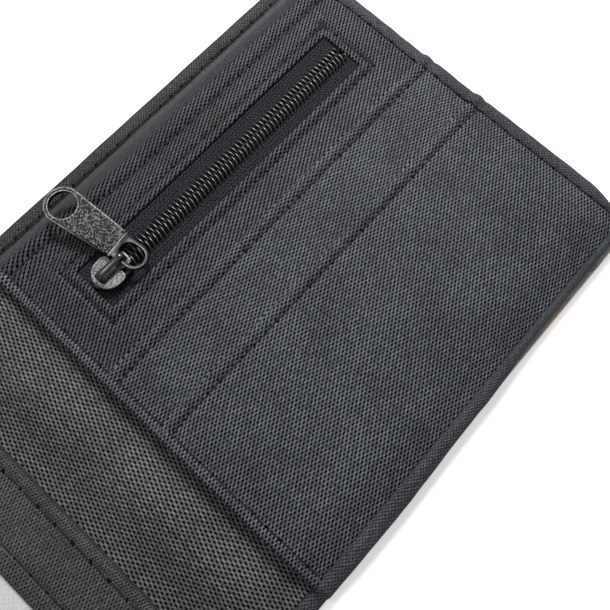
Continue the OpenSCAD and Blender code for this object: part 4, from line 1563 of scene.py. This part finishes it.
class WALLET_OT_puller(WalletOperator, bpy.types.Operator):
    """Makes the zip puller: a ring end, a tapered tab with sunken faces and a round end with its hole"""

    bl_idname = "wallet.puller"
    bl_label = "Zip puller"

    def build(self, context):
        low, high = node_low("zip_puller"), node_high("zip_puller")
        thickness = high[2] - low[2]
        eye_r, hole_r, ring_w, wire = 3.88, 3.0, 5.3, 0.62
        hole_l, lean, length = 5.6, math.radians(6.9), 25.0
        tab_start = hole_l / 2 + wire + 0.12
        eye_y = length - hole_l / 2 - wire - eye_r
        bm = bmesh.new()
        loops = [self.outline(ring_w, hole_l + 2 * wire, eye_y, eye_r),
                 self.circle(0, eye_y, hole_r, 48),
                 self.stadium(ring_w - 2 * wire, hole_l, 14)]
        for points in loops:
            verts = [bm.verts.new((x, y, 0)) for x, y in points]
            for a, b in zip(verts, verts[1:] + verts[:1]):
                bm.edges.new((a, b))
        bmesh.ops.triangle_fill(bm, edges=bm.edges[:], use_beauty=True, use_dissolve=False)
        bmesh.ops.bisect_plane(bm, geom=bm.verts[:] + bm.edges[:] + bm.faces[:], dist=0.001,
                               plane_co=(0, tab_start, 0), plane_no=(0, 1, 0))
        bmesh.ops.recalc_face_normals(bm, faces=bm.faces[:])
        if bm.faces[:][0].normal.z > 0:
            bmesh.ops.reverse_faces(bm, faces=bm.faces[:])
        made = bmesh.ops.extrude_face_region(bm, geom=bm.faces[:])["geom"]
        bmesh.ops.translate(bm, verts=[g for g in made if isinstance(g, bmesh.types.BMVert)],
                            vec=(0, 0, thickness))
        bm.normal_update()
        tab = [f for f in bm.faces if f.calc_center_median().y > tab_start]
        flat_top = [f for f in tab if f.normal.z > 0.9]
        flat_low = [f for f in tab if f.normal.z < -0.9]
        rim_w, wall_w, sink = 0.25, 0.09, 0.18
        for faces in (flat_top, flat_low):
            rim = bmesh.ops.inset_region(bm, faces=faces, thickness=rim_w, depth=0.0,
                                         use_even_offset=True)["faces"]
            bmesh.ops.inset_region(bm, faces=faces, thickness=wall_w, depth=-sink, use_even_offset=True)
            for face in faces:
                face.material_index = 1
            # The tab's rims: painted highlights
            for face in rim:
                face.material_index = 2
        x, y = self.ring_centre(low, high, lean, eye_y)
        place = Matrix.Translation((x, y, low[2])) @ Matrix.Rotation(lean, 4, "Z")
        bmesh.ops.transform(bm, matrix=place, verts=bm.verts)
        puller = make_piece("puller_tab", bm, "enamel", 1, normals=True)
        puller.data.materials.append(material("stippled"))
        puller.data.materials.append(material("rim"))
        round_edges(puller, 0.13, 3, 40)
        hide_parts("zip_puller")
        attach(puller, "zip_puller")

    @staticmethod
    def ring_centre(low, high, lean, eye_y):
        """The ring's centre follows from the round end, which reaches furthest left and up"""
        from_left, from_top = 3.75, 3.3
        eye = (low[0] + from_left, high[1] - from_top)
        return eye[0] + eye_y * math.sin(lean), eye[1] - eye_y * math.cos(lean)

    @staticmethod
    def circle(cx, cy, radius, count):
        return [(cx + radius * math.cos(a), cy + radius * math.sin(a))
                for a in (2 * math.pi * k / count for k in range(count))]

    @staticmethod
    def stadium(width, length, half_count):
        straight_half = (length - width) / 2
        low = [(width / 2 * math.cos(a), -straight_half + width / 2 * math.sin(a))
               for a in (math.pi + math.pi * k / half_count for k in range(half_count + 1))]
        return low + [(-x, -y) for x, y in low]

    @staticmethod
    def outline(ring_w, ring_l, eye_y, eye_r):
        """Ring end, neck, straight tapered sides and round end"""
        half = ring_w / 2
        low_y = -(ring_l - ring_w) / 2
        points = [(half * math.cos(a), low_y + half * math.sin(a))
                  for a in (math.pi + math.pi * k / 20 for k in range(21))]
        shoulder = ring_l / 2 + 0.1
        points += [(half, 0.6), (half - 0.1, shoulder - 0.6), (half + 0.32, shoulder)]
        start = math.radians(-6)
        points += [(eye_r * math.cos(a), eye_y + eye_r * math.sin(a))
                   for a in (start + (math.pi - 2 * start) * k / 36 for k in range(37))]
        points += [(-half - 0.32, shoulder), (-half + 0.1, shoulder - 0.6), (-half, 0.6)]
        return points


class WALLET_OT_card_window(WalletOperator, bpy.types.Operator):
    """Makes the left half's window frame, clear sheet, insert card and the pocket behind them"""

    bl_idname = "wallet.card_window"
    bl_label = "Card window"

    def build(self, context):
        cloth = sheet_piece(
            "window_frame_cloth", "frame", frame_top,
            SHEET_X, HALF_W - EDGE_HIDE, BOTTOM_Y + EDGE_HIDE, PANEL_TOP, -1, SHEET_STEP, SHEET_T,
            window=ID_WINDOW, grain=(0.0, 1.12, 1.13), drawn=True, corners=((-1, CORNER_R - EDGE_HIDE),),
            cuts_x=stitch_rows(HALF_W - EDGE_STITCH)
            + stitch_rows(ID_WINDOW[0] - ID_SEAM) + stitch_rows(ID_WINDOW[1] + ID_SEAM),
            cuts_y=edge_rows(PANEL_TOP, -1) + stitch_rows(PANEL_TOP - TOP_SEAM)
            + stitch_rows(ID_WINDOW[2] - ID_SEAM) + stitch_rows(ID_WINDOW[3] + ID_SEAM))
        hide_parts("id_frame", "left_top_seam")
        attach(cloth, "left_half")
        area = (HALF_W - PANEL_X) * (PANEL_TOP - BOTTOM_Y)
        area -= (ID_WINDOW[1] - ID_WINDOW[0]) * (ID_WINDOW[3] - ID_WINDOW[2])
        back = sheet_piece("window_backing_cloth", "frame", self.backing_top, PANEL_X + 0.8, HALF_W - 1.4,
                           BOTTOM_Y + 1.2, PANEL_TOP - 0.3, -1, 2.0, 0.4)
        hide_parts("left_pocket_panel")
        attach(back, "left_half")
        x0, x1, y0, y1 = ID_WINDOW
        lap = ID_LAP - 0.5
        clear = sheet_piece("clear_sheet", "clear", self.clear_top, x0 - lap, x1 + lap, y0 - lap, y1 + lap,
                            -1, 1.5, CLEAR_TOP - node_low("id_clear_window")[2], corners=())
        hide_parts("id_clear_window")
        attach(clear, "left_half")
        card = sheet_piece("blank_insert", "card", self.card_top,
                           x0 - lap + 1, x1 + lap - 1, y0 - lap + 1, y1 + lap - 1, -1, 2.0, 0.24,
                           corners=((-1, CARD_CORNER_R), (1, CARD_CORNER_R)))
        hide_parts("id_insert_card")
        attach(card, "left_half")

    @staticmethod
    def backing_top(x, y):
        return settle(x, y, node_high("left_pocket_panel")[2] - 0.05)

    @staticmethod
    def clear_top(x, y):
        """The clear sheet bulges a little over the card and ripples at its edges"""
        x0, x1, y0, y1 = ID_WINDOW
        inside = smooth(min(x - x0, x1 - x, y - y0, y1 - y) / 8.0 + 0.2)
        wave = 0.12 * ripple(x, y, 18.0, 15.0, 9.0)
        return settle(x, y, CLEAR_TOP) + (0.1 + wave) * inside

    @staticmethod
    def card_top(x, y):
        return settle(x, y, INSERT_TOP) - 0.04


class WALLET_OT_stitching(WalletOperator, bpy.types.Operator):
    """Sews the topstitches of the edges, slots, windows and hem"""

    bl_idname = "wallet.stitching"
    bl_label = "Topstitching"

    def build(self, context):
        rng = random.Random(41)
        for side in (1, -1):
            self.outer_edge(side, rng)
            self.hem_line(side, rng)
            self.fold_edge(side, rng)
        self.right_panel(rng)
        self.left_panel(rng)

    @staticmethod
    def top_of_stack(x, y):
        """Height of the cloth on top of the right half at a point"""
        if y < LOWER_SLOT_Y:
            return pocket_top(LOWER_TOP, LOWER_SLOT_Y)(x, y)
        if y < UPPER_SLOT_Y:
            return pocket_top(UPPER_TOP, UPPER_SLOT_Y)(x, y)
        return front_top(x, y)

    def outer_edge(self, side, rng):
        """Round the bottom and the outer side, and along the spine's bottom edge"""
        bm = bmesh.new()

        def top(x, y):
            if x < PANEL_X + 0.4:
                return WALLET_OT_spine.spine_top(x, y)
            return self.top_of_stack(x, y) if side > 0 else frame_top(x, y)

        bottom = HALF_W - CORNER_R
        length = outline_length(EDGE_STITCH, PANEL_TOP - 0.6) - bottom
        add_seam(bm, lambda s: outline_point(s, EDGE_STITCH), bottom, top, rng, sink=-0.1, hole=0.3)
        add_seam(bm, lambda s: outline_point(s + bottom, EDGE_STITCH), length,
                 lambda x, y: top(x, y) + 0.2, rng)
        thread_piece(half_name(side) + "_edge_stitches", bm, side)

    @staticmethod
    def hem_line(side, rng):
        bm = bmesh.new()
        path, length = straight(0, HEM_SEAM_Y, HALF_W - 1.0, HEM_SEAM_Y)
        add_seam(bm, path, length, WALLET_OT_shell.hem_top, rng)
        thread_piece(half_name(side) + "_hem_stitches", bm, side)

    @staticmethod
    def fold_edge(side, rng):
        """Down the inner edge of the turned band"""
        bm = bmesh.new()
        start_y = BOTTOM_Y + 3.2
        length = PANEL_TOP - 1.0 - start_y

        def path(s):
            y = start_y + s
            return TURN_X, y + drawn_up(TURN_X, y), math.pi / 2

        add_seam(bm, path, length, lambda x, y: WALLET_OT_turned_edges.stack_top(side, y) - 0.02, rng,
                 pitch=3.3 if side > 0 else 4.5, hole=0.55 if side > 0 else 0.72)
        thread_piece(half_name(side) + "_fold_stitches", bm, side, half_body(side))

    def right_panel(self, rng):
        bm = bmesh.new()
        rectangle_seams(bm, WINDOW, WINDOW_SEAM, front_top, rng)
        start_x = TURN_X + 0.5
        length = HALF_W - EDGE_STITCH - start_x
        add_seam(bm, lambda s: (start_x + s, top_stitch_y(start_x + s), 0.0), length, front_top, rng)
        for v in bm.verts:
            v.co.y += drawn_up(v.co.x, v.co.y)
        for height, slot_y in ((UPPER_TOP, UPPER_SLOT_Y), (LOWER_TOP, LOWER_SLOT_Y)):
            y = slot_y - HEM_STITCH
            path, length = straight(start_x, y, HALF_W - EDGE_STITCH, y)
            add_seam(bm, path, length, pocket_top(height, slot_y), rng)
        thread_piece("right_panel_stitches", bm, 1, "right_half")

    @staticmethod
    def left_panel(rng):
        bm = bmesh.new()
        rectangle_seams(bm, ID_WINDOW, ID_SEAM, frame_top, rng, pitch=4.2, hole=0.7)
        y = PANEL_TOP - TOP_SEAM
        path, length = straight(TURN_X + 0.5, y, HALF_W - EDGE_STITCH, y)
        add_seam(bm, path, length, frame_top, rng)
        thread_piece("left_panel_stitches", bm, -1, "left_half")


def set_material(node, name):
    """A better finish for a CAD node that stays as it is"""
    for k in range(max(1, len(node.material_slots))):
        if not node.material_slots:
            node.data.materials.append(material(name))
        node.material_slots[k].material = material(name)


class WALLET_OT_boards(WalletOperator, bpy.types.Operator):
    """Gives the stiffener boards inside the shell their board finish"""

    bl_idname = "wallet.boards"
    bl_label = "Stiffener boards"

    def build(self, context):
        for name in ("right_stiffener", "left_stiffener"):
            set_material(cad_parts[name], "board")


class WALLET_OT_stage(WalletOperator, bpy.types.Operator):
    """Makes the pale floor, the soft studio light and the camera"""

    bl_idname = "wallet.stage"
    bl_label = "Stage"

    def build(self, context):
        self.floor()
        self.world(context)
        for name, place, size, watts in (("key", (0.3, 0.22, 0.36), 0.14, 2.7),
                                         ("top", (0.022, 0.185, 0.42), 0.08, 0.34),
                                         ("fill", (-0.3, -0.28, 0.5), 0.5, 0.2)):
            self.lamp(name, place, size, watts)
        self.camera(context)
        context.scene.view_settings.view_transform = "Standard"

    @staticmethod
    def floor():
        """A pale floor that glows a little for the camera alone, so that it comes out white"""
        bm = bmesh.new()
        bmesh.ops.create_grid(bm, x_segments=1, y_segments=1, size=3.0)
        mesh = bpy.data.meshes.new("floor")
        bm.to_mesh(mesh)
        bm.free()
        floor = bpy.data.objects.new("floor", mesh)
        bpy.context.scene.collection.objects.link(floor)
        shader = Shader("pale floor")
        shader.set(Base_Color=(0.92, 0.92, 0.92, 1), Roughness=0.7, Specular_IOR_Level=0.2)
        path = shader.nodes.new("ShaderNodeLightPath")
        glow = shader.math("MULTIPLY", path.outputs["Is Camera Ray"], 0.5)
        shader.links.new(glow, shader.surface.inputs["Emission Strength"])
        shader.surface.inputs["Emission Color"].default_value = (1, 1, 1, 1)
        mesh.materials.append(shader.material)

    @staticmethod
    def world(context):
        """White where it is seen or mirrored, and a plain soft light otherwise"""
        soft_level = 0.14
        world = bpy.data.worlds.new("studio")
        context.scene.world = world
        world.use_nodes = True
        nodes, links = world.node_tree.nodes, world.node_tree.links
        back = nodes["Background"]
        back.inputs[0].default_value = (1, 1, 1, 1)
        path = nodes.new("ShaderNodeLightPath")
        seen = nodes.new("ShaderNodeMath")
        seen.operation = "MAXIMUM"
        links.new(path.outputs["Is Camera Ray"], seen.inputs[0])
        links.new(path.outputs["Is Glossy Ray"], seen.inputs[1])
        level = nodes.new("ShaderNodeMapRange")
        level.inputs["To Min"].default_value = soft_level
        level.inputs["To Max"].default_value = 1.0
        links.new(seen.outputs[0], level.inputs[0])
        links.new(level.outputs[0], back.inputs[1])

    @staticmethod
    def lamp(name, place, size, watts):
        """A square lamp that faces the wallet"""
        target = Vector((0.03, 0, 0))
        light = bpy.data.lights.new(name, "AREA")
        light.energy = watts
        light.size = size
        lamp = bpy.data.objects.new(name, light)
        lamp.location = place
        lamp.rotation_mode = "QUATERNION"
        lamp.rotation_quaternion = (target - Vector(place)).to_track_quat("-Z", "Y")
        bpy.context.scene.collection.objects.link(lamp)

    @staticmethod
    def camera(context):
        """From close above the right half, turned so that the zip runs up to the right"""
        place = (0.0255, -0.0255, 0.1232)
        ahead = Vector((0.188, 0.144, -0.9716)).normalized()
        roughly_up = Vector((0.7167, 0.6563, 0.2359))
        lens = bpy.data.cameras.new("camera")
        lens.sensor_width = 36
        lens.lens = 36.1
        lens.clip_start = 0.005
        camera = bpy.data.objects.new("camera", lens)
        right = ahead.cross(roughly_up).normalized()
        up = right.cross(ahead)
        turn = Matrix((right, up, -ahead)).transposed().to_4x4()
        camera.matrix_world = Matrix.Translation(place) @ turn
        context.scene.collection.objects.link(camera)
        context.scene.camera = camera


class WALLET_PT_panel(bpy.types.Panel):
    """Lists the wallet's sizes, colours and pieces"""

    bl_idname = "WALLET_PT_panel"
    bl_label = "Wallet"
    bl_space_type = "VIEW_3D"
    bl_region_type = "UI"
    bl_category = "Wallet"

    def draw(self, context):
        for group in (context.scene.wallet_sizes, context.scene.wallet_colours):
            for key in group.bl_rna.properties.keys():
                if key not in ("rna_type", "name"):
                    self.layout.prop(group, key)
        for operator in OPERATORS:
            self.layout.operator(operator.bl_idname)


OPERATORS = (
    WALLET_OT_stage, WALLET_OT_boards, WALLET_OT_shell, WALLET_OT_seams, WALLET_OT_spine,
    WALLET_OT_coin_pocket, WALLET_OT_card_pockets, WALLET_OT_turned_edges, WALLET_OT_zip_chain,
    WALLET_OT_slider, WALLET_OT_puller, WALLET_OT_card_window, WALLET_OT_stitching,
)
CLASSES = (WalletSizes, WalletColours, *OPERATORS, WALLET_PT_panel)


def register():
    for cls in CLASSES:
        bpy.utils.register_class(cls)
    bpy.types.Scene.wallet_sizes = PointerProperty(type=WalletSizes)
    bpy.types.Scene.wallet_colours = PointerProperty(type=WalletColours)


def unregister():
    del bpy.types.Scene.wallet_colours
    del bpy.types.Scene.wallet_sizes
    for cls in reversed(CLASSES):
        bpy.utils.unregister_class(cls)


def main():
    register()
    for operator in OPERATORS:
        group, name = operator.bl_idname.split(".")
        getattr(getattr(bpy.ops, group), name)()


if __name__ == "__main__":
    main()
